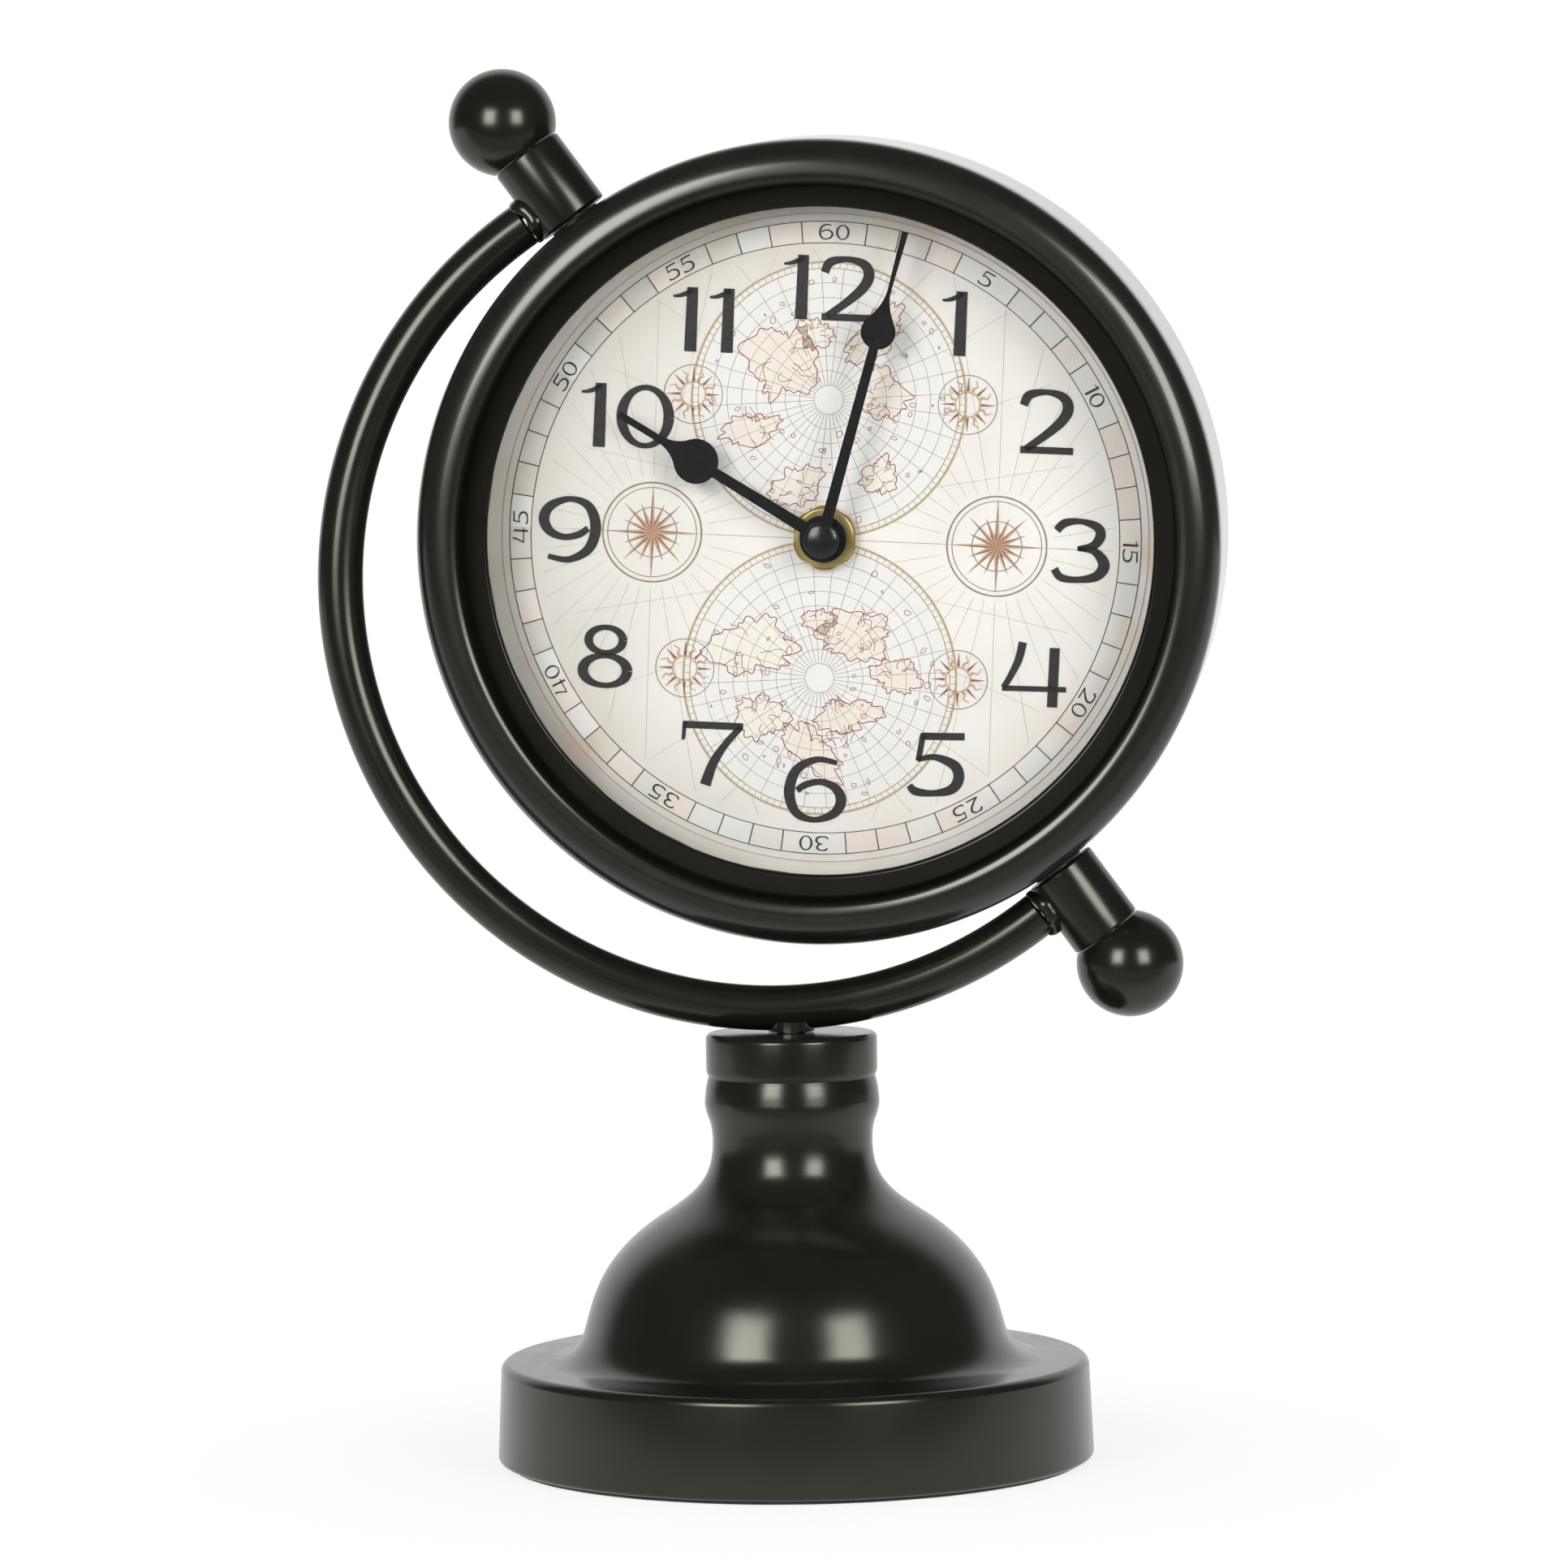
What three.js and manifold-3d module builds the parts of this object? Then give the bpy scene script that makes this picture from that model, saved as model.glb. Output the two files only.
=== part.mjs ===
// Desk clock with a round case that turns on a tilted axle, as a globe does.
// A bent tube on a spun pedestal carries two sleeves. The case hangs between them on two bolts,
// each held outside by a ball knob. Inside are the dial, the hands and a battery movement.
// All lengths are in millimetres. +Z is up, the dial looks towards -Y, +X is to its right.
// The origin is the centre of the pad that the clock stands on.

import * as THREE from "three";
import { mergeVertices } from "three/addons/utils/BufferGeometryUtils.js";
import Module from "manifold-3d";

const wasm = await Module();
wasm.setup();

// Clearances
const seatGap = 0.3; // between pieces that rest on each other
const runGap = 0.1; // round a pivot that turns
const overrun = 3; // how far a cutter passes the face that it opens

// Tilted axle and the place of the case, whose middle lies a little beside the axle
const axle = { x: 6.6, tiltDegrees: 36.1, caseTurnDegrees: -5.8, boltRadius: 3 };
const caseOffset = 1.2;
const dialTurnDegrees = 2.8; // the dial and its movement sit slightly clockwise in the case

// Case: depths are from the axle, positive to the back
const caseShell = {
  radius: 84,
  wall: 1,
  back: 30,
  rimRound: 1.8,
  rimReach: 5,
  rimWall: 2,
  lipDepth: 2.5,
  lipWidth: 7.6,
};
const bezel = {
  beadWidth: 8.4,
  ringWidth: 5.8,
  openingDepth: -6.5,
  creaseRise: 0.6,
  widestRise: 2.9,
  beadHeight: 5.4,
  sheet: 1,
  seam: 2,
  skirtBack: 7,
  skirtWall: 0.8,
  cupWall: 0.9,
};
const glass = { thickness: 2, gasket: 0.8, gasketWidth: 5.5 };
const dial = { depth: 11.1, thickness: 1.2, spacerWall: 2.6, ringWire: 0.7, lip: 1.1 };
const backCover = { thickness: 1, openingMargin: 2, openingRound: 3 };
const backScrew = { radius: 1.4, headRadius: 2.5, headHeight: 0.9, length: 6 };

// Axle pieces
const sleeve = { radius: 7.8, bore: 3.5, caseGap: 0.9, length: 16.5, chamfer: 0.6 };
const knob = { radius: 11.2, threadDepth: 10.5 };
const lockNut = { acrossFlats: 10, height: 3.2 };
const frictionWasher = { radius: 5.6, thickness: 0.4 };

// Bent tube that carries the sleeves and stands just above the column
const arm = { tubeRadius: 4.8, bendRoom: 6.2, bendOffset: 12.3, columnGap: 0.3, weldBead: 0.6 };

// Pedestal, from the top down; a rise is from one feature to the next, a width from its edge outwards
const pedestal = {
  wall: 2.5,
  topRise: 9.1,
  topRound: 1.2,
  columnRadius: 18,
  grooveRise: 5.4,
  grooveDepth: 0.45,
  grooveHalfWidth: 1.1,
  beadRise: 8.1,
  beadRadius: 18.35,
  beadHalfWidth: 2.3,
  neckRise: 15.7,
  neckRadius: 16.8,
  shoulderRise: 23.4,
  shoulderRadius: 27.6,
  domeRise: 7,
  domeRadius: 44.1,
  flangeHeight: 21.7,
  filletWidth: 8.7,
  flangeWidth: 9.1,
  flangeRound: 1.8,
  footWidth: 0.8,
  footRound: 1,
  footHeight: 0.9,
  rabbetWall: 1.2,
  rabbetHeight: 4.2,
};
// How far the handles of the pedestal's curves reach, as shares of the height or width that they span
const neckHandleShare = 0.52;
const shoulderHandleShare = 0.37;
const domeHandleShare = 0.64;
const filletHandleShare = 0.55;
const shoulderSlopeDegrees = 33;
const domeSlopeDegrees = 75;

const feltPad = { margin: 0.4, thickness: 2.4 };
const basePlate = { thickness: 1.2, dishRadius: 18, dishRise: 6.3, dishSlope: 6 };
const tieRod = { radius: 3, collarRadius: 4.9, collarHeight: 2.1, washerRadius: 8, washerThickness: 1, tail: 1 };

// Hands: tipGap is from the tip out to the bezel's opening, the other distances run inwards from the tip.
// The drop leaves its circle for the needle at shoulderDegrees.
const hands = { sheet: 0.4 };
const minuteHand = {
  glassGap: 2.4,
  clockDegrees: 13.3,
  hubRadius: 3.2,
  shaftRoot: 2.4,
  shaftEnd: 2,
  bulbFromTip: 21.6,
  bulbRadius: 3.65,
  shoulderDegrees: 36,
  needleLength: 12.6,
  needleRoot: 0.8,
  needleTip: 1.4,
  tipGap: 3,
};
const hourHand = {
  glassGap: 5.4,
  clockDegrees: 299.2,
  hubRadius: 4.95,
  shaftRoot: 2.6,
  shaftEnd: 2.2,
  bulbFromTip: 19.1,
  bulbRadius: 4.75,
  shoulderDegrees: 48,
  needleLength: 9.7,
  needleRoot: 1.5,
  needleTip: 1.5,
  tipGap: 19.4,
};
const handCap = { radius: 3.75, rim: 0.35, height: 1.3 };

// Battery movement
const movement = { bayRoom: 2.7, depth: 14.3, wall: 1.4, cornerRound: 3, bayMargin: 2.5, bayWall: 1 };
const movementCover = { thickness: 1.2, inset: 0.3 };
const bushing = { radius: 4, bore: 2.9, glassGap: 7.5 };
const dialNut = { radius: 6.85, acrossFlats: 13, height: 2.2, chamfer: 0.7 };
const dialWasher = { radius: 6.3, thickness: 0.4 };
const hourTube = { radius: 2.6, bore: 1.9 };
const minuteArborRadius = 1.5;
const worksPlate = { floorGap: 3.7, thickness: 1, margin: 0.7 };
const coil = { radius: 3.2, length: 20, flange: 0.8, coreRadius: 2.4, x: 9, z: 18 };
const circuitBoard = { width: 22, height: 13, thickness: 1, x: 9, z: 3 };
const battery = { radius: 7, length: 49.2, capRadius: 2.7, capLength: 1.3, edge: 0.6 };
const contact = { thickness: 0.5, width: 9, springDepth: 0.7 };
const setKnob = { radius: 6, height: 2.5, shaftRadius: 1.2, notchRadius: 0.6, notchCount: 12 };

// Motion work: the wheels that turn the hour hand once for twelve turns of the minute hand
const gearModule = 0.5;
const pressureDegrees = 25;
const addendumShare = 0.72;
const dedendumShare = 1.05;
const backlash = 0.12;
const teeth = { cannonPinion: 10, motionWheel: 30, motionPinion: 8, hourWheel: 32, setPinion: 10 };
const motionWork = { wheelThickness: 0.8, floorGap: 0.4, hourWheelThickness: 1, pinionThickness: 1.2 };
const motionWheelDegrees = 145;
const setKnobDegrees = 110;
const motionPost = 0.75;

// How finely round forms are cut
const sides = { case: 36, pedestal: 32, hoop: 20, tube: 10, bend: 24, small: 16, ball: 16, tiny: 8 };

const finish = {
  blackPaint: { color: 0x1e1e19, roughness: 0.38, metalness: 0.2 },
  blackPlastic: { color: 0x17181a, roughness: 0.5, metalness: 0 },
  handBlack: { color: 0x121310, roughness: 0.55, metalness: 0.1 },
  paper: { color: 0xe8e5dc, roughness: 0.8, metalness: 0 },
  clear: { color: 0xe6eeee, roughness: 0.05, metalness: 0, transparent: true, opacity: 0.25 },
  rubber: { color: 0x202020, roughness: 0.85, metalness: 0 },
  steel: { color: 0xb4b6b8, roughness: 0.35, metalness: 1 },
  brass: { color: 0xc9a243, roughness: 0.3, metalness: 1 },
  felt: { color: 0x2c2f2a, roughness: 1, metalness: 0 },
  whitePlastic: { color: 0xeeece6, roughness: 0.45, metalness: 0 },
  copper: { color: 0xb4642f, roughness: 0.4, metalness: 1 },
  board: { color: 0x2f6b3d, roughness: 0.6, metalness: 0 },
  cell: { color: 0x5a5f66, roughness: 0.4, metalness: 0.6 },
  fibre: { color: 0x3a2a22, roughness: 0.9, metalness: 0 },
};

// Sizes and places worked out from the values above
const caseInner = caseShell.radius - caseShell.wall;
const skirtOuter = caseInner - seatGap;
const skirtInner = skirtOuter - bezel.skirtWall;
const creaseRadius = caseShell.radius - bezel.beadWidth;
const openingRadius = creaseRadius - bezel.ringWidth;
const creaseDepth = bezel.openingDepth - bezel.creaseRise;
const widestDepth = creaseDepth - bezel.widestRise;
const bezelSeam = widestDepth + bezel.seam;
const ringBack = bezel.openingDepth + bezel.sheet;
const gasketBack = ringBack + seatGap + glass.gasket;
const glassBack = gasketBack + seatGap + glass.thickness;
const dialFront = glassBack + dial.depth;
const dialBack = dialFront + dial.thickness;
const minuteBack = glassBack + minuteHand.glassGap;
const hourBack = glassBack + hourHand.glassGap;
const stemFront = glassBack + bushing.glassGap;
const wireRadius = dial.ringWire;
const lipFront = dialBack + 2 * seatGap + 2 * wireRadius;
const cupInner = creaseRadius + bezel.cupWall;
const cupOuter = cupInner + bezel.cupWall;
const cupBack = lipFront + bezel.cupWall;
const discRadius = cupInner - seatGap;
const lipBack = caseShell.back - caseShell.lipDepth;
const coverFront = lipBack + seatGap;
const coverBack = coverFront + backCover.thickness;
const screwCircle = caseInner - caseShell.lipWidth / 2;
const movementFront = dialBack + seatGap;
const movementFloor = movementFront + movement.wall;
const movementBack = movementFront + movement.depth;
const movementInner = (battery.length + battery.capLength + movement.bayRoom) / 2;
const movementHalf = movementInner + movement.wall;
const bayTop = -movementInner + 2 * battery.radius + movement.bayMargin;
const coverPlateFront = movementBack + seatGap;
const coverPlateBack = coverPlateFront + movementCover.thickness;
const hourWheelFront = movementFloor + motionWork.floorGap;
const pinionFront = hourWheelFront + motionWork.hourWheelThickness + 2 * seatGap;
const pinionBack = pinionFront + motionWork.pinionThickness;
const wheelFront = pinionFront + (motionWork.pinionThickness - motionWork.wheelThickness) / 2;
const wheelBack = wheelFront + motionWork.wheelThickness;
const worksFront = movementFloor + worksPlate.floorGap;
const worksBack = worksFront + worksPlate.thickness;
const nutBack = dialFront - dialWasher.thickness - 2 * seatGap;
const sleeveStart = caseShell.radius + sleeve.caseGap;
const sleeveEnd = sleeveStart + sleeve.length;
const knobSeat = sleeveEnd + seatGap;
const bendRadius = caseShell.radius + arm.bendRoom;
const plateTop = pedestal.rabbetHeight - seatGap;
const plateBottom = plateTop - basePlate.thickness;
const domeHeight = pedestal.flangeHeight + pedestal.domeRise;
const shoulderHeight = domeHeight + pedestal.shoulderRise;
const neckHeight = shoulderHeight + pedestal.neckRise;
const beadHeight = neckHeight + pedestal.beadRise;
const grooveHeight = beadHeight + pedestal.grooveRise;
const columnTop = grooveHeight + pedestal.topRise;
const filletEndRadius = pedestal.domeRadius + pedestal.filletWidth;
const flangeTopRadius = filletEndRadius + pedestal.flangeWidth;
const footRadius = flangeTopRadius + pedestal.footWidth;
const plateRadius = footRadius - pedestal.rabbetWall - seatGap;

const radians = THREE.MathUtils.degToRad;
const turnAbout = (x, y, z, degrees) =>
  new THREE.Quaternion().setFromAxisAngle(new THREE.Vector3(x, y, z), radians(degrees));

// One closed surface with shared corners and no collapsed faces
function closed(geometry) {
  const bare = new THREE.BufferGeometry();
  bare.setAttribute("position", geometry.attributes.position);
  if (geometry.index) bare.setIndex(geometry.index);
  const merged = mergeVertices(bare);
  const kept = [];
  for (let i = 0; i < merged.index.count; i += 3) {
    const corners = [0, 1, 2].map((k) => merged.index.getX(i + k));
    if (new Set(corners).size === 3) kept.push(...corners);
  }
  merged.setIndex(kept);
  return merged;
}

function solid(geometry) {
  const shape = closed(geometry);
  return new wasm.Manifold(
    new wasm.Mesh({
      numProp: 3,
      vertProperties: shape.attributes.position.array,
      triVerts: new Uint32Array(shape.index.array),
    }),
  );
}

function fromSolid(body) {
  const mesh = body.getMesh();
  const shape = new THREE.BufferGeometry();
  shape.setAttribute("position", new THREE.BufferAttribute(mesh.vertProperties, mesh.numProp));
  shape.setIndex(new THREE.BufferAttribute(mesh.triVerts, 1));
  return shape;
}

const joined = (...parts) => parts.slice(1).reduce((whole, part) => whole.add(part), parts[0]);
const cut = (whole, ...cutters) => cutters.reduce((left, cutter) => left.subtract(cutter), whole);

// A solid of revolution about Y from [radius, depth] pairs, in either order round
function turned(outline, count) {
  let area = 0;
  outline.forEach(([radius, depth], i) => {
    const [nextRadius, nextDepth] = outline[(i + 1) % outline.length];
    area += radius * nextDepth - nextRadius * depth;
  });
  const points = outline.map(([radius, depth]) => new THREE.Vector2(radius, depth));
  if (area < 0) points.reverse();
  const open = points[0].x === 0 && points[points.length - 1].x === 0;
  if (!open) points.push(points[0].clone());
  return closed(new THREE.LatheGeometry(points, count));
}

const ring = (inner, outer, front, back, count) =>
  turned(
    [
      [inner, front],
      [outer, front],
      [outer, back],
      [inner, back],
    ],
    count,
  );
const rod = (radius, front, back, count = sides.small) => ring(0, radius, front, back, count);

// The same forms stood up along Z
const upright = (geometry) => geometry.rotateX(Math.PI / 2);

// Points along a curve of a profile, without its first point
const follow = (curve, steps) =>
  curve
    .getPoints(steps)
    .slice(1)
    .map((p) => [p.x, p.y]);
const quarter = (x, y, width, height, from, to, steps) =>
  follow(new THREE.EllipseCurve(x, y, width, height, radians(from), radians(to), to < from), steps);
const smooth = (from, handle, otherHandle, to, steps) =>
  follow(
    new THREE.CubicBezierCurve(...[from, handle, otherHandle, to].map((p) => new THREE.Vector2(...p))),
    steps,
  );

// A flat shape, drawn as seen from the front, as thick as from front to back
function plate(shape, front, back, curveSegments = sides.tiny) {
  const options = { depth: back - front, bevelEnabled: false, curveSegments };
  return new THREE.ExtrudeGeometry(shape, options).rotateX(Math.PI / 2).translate(0, back, 0);
}

function roundedRectangle(left, right, bottom, top, round) {
  const shape = new THREE.Shape();
  shape.moveTo(left + round, bottom);
  shape.lineTo(right - round, bottom);
  shape.absarc(right - round, bottom + round, round, -Math.PI / 2, 0);
  shape.lineTo(right, top - round);
  shape.absarc(right - round, top - round, round, 0, Math.PI / 2);
  shape.lineTo(left + round, top);
  shape.absarc(left + round, top - round, round, Math.PI / 2, Math.PI);
  shape.lineTo(left, bottom + round);
  shape.absarc(left + round, bottom + round, round, Math.PI, 1.5 * Math.PI);
  return shape;
}

function rectangle(left, right, bottom, top) {
  const corners = [
    [left, bottom],
    [right, bottom],
    [right, top],
    [left, top],
  ];
  return new THREE.Shape(corners.map((corner) => new THREE.Vector2(...corner)));
}

function hexagon(acrossFlats) {
  const corner = acrossFlats / 2 / Math.cos(Math.PI / 6);
  const points = [0, 1, 2, 3, 4, 5].map(
    (i) => new THREE.Vector2(corner * Math.cos((i * Math.PI) / 3), corner * Math.sin((i * Math.PI) / 3)),
  );
  return new THREE.Shape(points);
}

// Gear teeth with involute flanks

const involute = (angle) => Math.tan(angle) - angle;
const pitchRadius = (count) => (gearModule * count) / 2;

// Angle of the other wheel's tooth when a wheel with this phase drives it in this direction
function meshPhase(count, phase, direction, otherCount) {
  const pitch = (2 * Math.PI) / count;
  const offset = phase + Math.round((direction - phase) / pitch) * pitch - direction;
  return direction + Math.PI + (Math.PI - offset * count) / otherCount;
}

function gearShape(count, phase, boreRadius) {
  const pressure = radians(pressureDegrees);
  const pitch = pitchRadius(count);
  const base = pitch * Math.cos(pressure);
  const root = pitch - dedendumShare * gearModule;
  const tip = pitch + addendumShare * gearModule;
  const halfTooth = Math.PI / (2 * count) - backlash / (2 * pitch);
  const halfAngle = (radius) => {
    const reach = Math.max(radius, base);
    return halfTooth + involute(pressure) - involute(Math.acos(base / reach));
  };
  const flank = [root, Math.max(base, root), Math.max(pitch, base + gearModule / 3), tip];
  const radii = flank.filter((radius, i) => i === 0 || radius > flank[i - 1]);
  const points = [];
  for (let i = 0; i < count; i++) {
    const middle = phase + (2 * Math.PI * i) / count;
    const side = (sign, list) =>
      list.forEach((radius) => {
        const angle = middle + sign * halfAngle(radius);
        points.push(new THREE.Vector2(radius * Math.cos(angle), radius * Math.sin(angle)));
      });
    side(-1, radii);
    side(1, [...radii].reverse());
  }
  const shape = new THREE.Shape(points);
  if (boreRadius) shape.holes.push(new THREE.Path().absarc(0, 0, boreRadius, 0, 2 * Math.PI, true));
  return shape;
}

// Stand

function pedestalOutline() {
  const p = pedestal;
  const slope = radians(shoulderSlopeDegrees);
  const domeSlope = radians(domeSlopeDegrees);
  const shoulder = [p.shoulderRadius, shoulderHeight];
  const dome = [p.domeRadius, domeHeight];
  const along = ([radius, height], angle, reach) => [
    radius + reach * Math.cos(angle),
    height - reach * Math.sin(angle),
  ];
  const neckReach = (neckHeight - shoulderHeight) * neckHandleShare;
  const shoulderReach = (shoulderHeight - domeHeight) * shoulderHandleShare;
  const domeReach = (shoulderHeight - domeHeight) * domeHandleShare;
  const filletReach = (domeHeight - p.flangeHeight) * filletHandleShare;
  const column = [
    [p.columnRadius - p.topRound, columnTop],
    ...quarter(p.columnRadius - p.topRound, columnTop - p.topRound, p.topRound, p.topRound, 90, 0, 2),
    [p.columnRadius, grooveHeight + p.grooveHalfWidth],
    [p.columnRadius - p.grooveDepth, grooveHeight],
    [p.beadRadius - p.grooveDepth / 2, (beadHeight + grooveHeight) / 2],
    [p.beadRadius, beadHeight],
    [p.beadRadius - p.grooveDepth, beadHeight - p.beadHalfWidth],
    [p.neckRadius + p.grooveDepth, beadHeight - 2 * p.beadHalfWidth],
    [p.neckRadius, neckHeight],
  ];
  const skin = [
    ...smooth([p.neckRadius, neckHeight], [p.neckRadius, neckHeight - neckReach],
      along(shoulder, slope, -shoulderReach), shoulder, 4),
    ...smooth(shoulder, along(shoulder, slope, domeReach), along(dome, domeSlope, -domeReach / 2), dome, 5),
    ...smooth(dome, along(dome, domeSlope, filletReach), [filletEndRadius - filletReach, p.flangeHeight],
      [filletEndRadius, p.flangeHeight], 3),
    [flangeTopRadius - p.flangeRound, p.flangeHeight],
  ];
  const edge = [
    ...quarter(flangeTopRadius - p.flangeRound, p.flangeHeight - p.flangeRound, p.flangeRound,
      p.flangeRound, 90, 0, 2),
    [footRadius, p.footHeight + p.footRound],
    ...quarter(footRadius - p.footRound, p.footHeight + p.footRound, p.footRound, p.footRound, 0, -90, 2),
  ];
  return { column, skin, edge };
}

// The inside follows the skin, one wall thickness in
function insetOutline(points, distance) {
  return points.map(([radius, height], i) => {
    const before = points[Math.max(i - 1, 0)];
    const after = points[Math.min(i + 1, points.length - 1)];
    const length = Math.hypot(after[0] - before[0], after[1] - before[1]);
    return [
      radius + (distance * (after[1] - before[1])) / length,
      height - (distance * (after[0] - before[0])) / length,
    ];
  });
}

function pedestalShell() {
  const p = pedestal;
  const { column, skin, edge } = pedestalOutline();
  const bore = p.neckRadius - p.wall;
  const inside = insetOutline([[p.neckRadius, neckHeight], ...skin.filter((_, i) => i % 2 === 1)], p.wall);
  const rabbet = footRadius - p.rabbetWall;
  const outline = [
    [tieRod.radius + seatGap, columnTop],
    ...column,
    ...skin,
    ...edge,
    [rabbet, p.footHeight],
    [rabbet, p.rabbetHeight],
    [flangeTopRadius - p.wall, p.rabbetHeight],
    [flangeTopRadius - p.wall, p.flangeHeight - p.wall],
    ...inside.reverse(),
    [bore, columnTop - 2 * p.wall],
    [tieRod.radius + seatGap, columnTop - 2 * p.wall],
  ];
  return upright(turned(outline, sides.pedestal));
}

const feltDisc = () => upright(rod(plateRadius - feltPad.margin, 0, feltPad.thickness, sides.pedestal));

function basePlateDisc() {
  const b = basePlate;
  const hole = tieRod.radius + seatGap;
  const outline = [
    [hole, plateBottom + b.dishRise],
    [b.dishRadius, plateBottom + b.dishRise],
    [b.dishRadius + b.dishSlope, plateBottom],
    [plateRadius, plateBottom],
    [plateRadius, plateTop],
    [b.dishRadius + b.dishSlope, plateTop],
    [b.dishRadius, plateTop + b.dishRise],
    [hole, plateTop + b.dishRise],
  ];
  return upright(turned(outline, sides.pedestal));
}

// The dish holds the washer, the nut and the tail of the tie rod
const washerTop = plateBottom + basePlate.dishRise - seatGap;
const washerBottom = washerTop - tieRod.washerThickness;
const rodNutTop = washerBottom - seatGap;
const rodNutBottom = rodNutTop - lockNut.height;

const tieWasher = () =>
  upright(ring(tieRod.radius + seatGap, tieRod.washerRadius, washerBottom, washerTop, sides.small));

// A six-sided nut with its corners turned off, along Y
function sixSidedNut(acrossFlats, bore, front, back, cornerRadius, chamfer) {
  const blank = solid(plate(hexagon(acrossFlats), front, back));
  const turnedBlank = solid(
    turned(
      [
        [0, front],
        [cornerRadius - chamfer, front],
        [cornerRadius, front + chamfer],
        [cornerRadius, back],
        [0, back],
      ],
      sides.small,
    ),
  );
  const hole = solid(rod(bore, front - overrun, back + overrun));
  return fromSolid(blank.intersect(turnedBlank).subtract(hole));
}

const plainNut = (front, back) => {
  const corner = lockNut.acrossFlats / 2 / Math.cos(Math.PI / 6);
  return sixSidedNut(lockNut.acrossFlats, tieRod.radius + runGap, front, back, corner - seatGap / 2, seatGap);
};

const tieNut = () => upright(plainNut(rodNutBottom, rodNutTop));

// The bent tube lies in the plane of the tilted axle, which is its Z
function armPath() {
  const end = Math.acos((arm.bendOffset - sleeve.radius / 2) / bendRadius);
  const points = [];
  for (let i = 0; i <= sides.bend; i++) {
    const angle = end + ((2 * Math.PI - 2 * end) * i) / sides.bend;
    const x = -arm.bendOffset + bendRadius * Math.cos(angle);
    points.push(new THREE.Vector3(x, 0, bendRadius * Math.sin(angle)));
  }
  return new THREE.CatmullRomCurve3(points);
}

function bentTube(radius) {
  const section = new THREE.Shape();
  for (let i = 0; i < sides.tube; i++) {
    const angle = (2 * Math.PI * (i + 0.5)) / sides.tube;
    const corner = new THREE.Vector2(radius * Math.cos(angle), radius * Math.sin(angle));
    if (i) section.lineTo(corner.x, corner.y);
    else section.moveTo(corner.x, corner.y);
  }
  const options = { steps: sides.bend, extrudePath: armPath(), bevelEnabled: false };
  return new THREE.ExtrudeGeometry(section, options);
}

// A bead of weld on the line where the tube meets a sleeve, above or below the case
function weldBead(side) {
  const joint = side * Math.sqrt(bendRadius ** 2 - (arm.bendOffset - sleeve.radius) ** 2);
  const reach = arm.tubeRadius + arm.weldBead / 3;
  const place = (turn) => {
    const y = reach * Math.cos(turn);
    const x = -Math.sqrt(sleeve.radius ** 2 - y ** 2) - seatGap;
    return new THREE.Vector3(x, y, joint + reach * Math.sin(turn));
  };
  const corners = [];
  const faces = [];
  const around = sides.small;
  const across = sides.tiny / 2;
  const middle = new THREE.Vector3(-sleeve.radius, 0, joint);
  for (let i = 0; i < around; i++) {
    const turn = (2 * Math.PI * i) / around;
    const centre = place(turn);
    const outwards = centre.clone().sub(middle).setX(0).normalize();
    for (let k = 0; k < across; k++) {
      const angle = (2 * Math.PI * k) / across;
      const corner = centre.clone().addScaledVector(outwards, arm.weldBead * Math.cos(angle));
      corner.x += arm.weldBead * Math.sin(angle);
      corners.push(corner.x, corner.y, corner.z);
      const nextTurn = ((i + 1) % around) * across;
      const nextCorner = (k + 1) % across;
      const here = i * across;
      faces.push(here + k, nextTurn + k, nextTurn + nextCorner);
      faces.push(here + k, nextTurn + nextCorner, here + nextCorner);
    }
  }
  const bead = new THREE.BufferGeometry();
  bead.setAttribute("position", new THREE.Float32BufferAttribute(corners, 3));
  bead.setIndex(faces);
  return solid(bead);
}

function sleeveBlock(radius, bore, side) {
  const s = sleeve;
  const outline = [
    [bore, sleeveStart],
    [radius - s.chamfer, sleeveStart],
    [radius, sleeveStart + s.chamfer],
    [radius, sleeveEnd - s.chamfer],
    [radius - s.chamfer, sleeveEnd],
    [bore, sleeveEnd],
  ];
  const tube = upright(turned(outline, sides.ball));
  return side > 0 ? tube : tube.rotateX(Math.PI);
}

function armTube() {
  const tube = joined(solid(bentTube(arm.tubeRadius)), weldBead(1), weldBead(-1));
  const cutters = [1, -1].map((side) => {
    const reach = side > 0 ? [0, sleeveEnd + overrun] : [-sleeveEnd - overrun, 0];
    return solid(upright(rod(sleeve.radius + seatGap, ...reach, sides.ball)));
  });
  return fromSolid(cut(tube, ...cutters));
}

// The rod's upper end and its collar are shaped to the underside of the bent tube
function tieRodBar() {
  const collarFoot = columnTop + seatGap;
  const bar = solid(upright(rod(tieRod.radius, rodNutBottom - tieRod.tail, armFoot)));
  const collar = solid(
    upright(rod(tieRod.collarRadius, collarFoot, collarFoot + tieRod.collarHeight, sides.hoop)),
  );
  const tube = bentTube(arm.tubeRadius + seatGap).applyMatrix4(axlePlace.matrix);
  const pieces = joined(bar, collar).subtract(solid(tube)).decompose();
  return fromSolid(pieces.sort((a, b) => a.boundingBox().min[2] - b.boundingBox().min[2])[0]);
}

// The bent tube's middle over the column, and the axle's height above it
const armFoot = columnTop + arm.columnGap + arm.tubeRadius;
const axleHeight = (() => {
  const tilt = radians(axle.tiltDegrees);
  const centreX = axle.x - arm.bendOffset * Math.cos(tilt);
  return armFoot + Math.sqrt(bendRadius ** 2 - centreX ** 2) + arm.bendOffset * Math.sin(tilt);
})();

const axlePlace = new THREE.Group();
axlePlace.position.set(axle.x, 0, axleHeight);
axlePlace.quaternion.copy(turnAbout(0, 1, 0, -axle.tiltDegrees));
axlePlace.updateMatrix();

// Case, turned about Y

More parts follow.
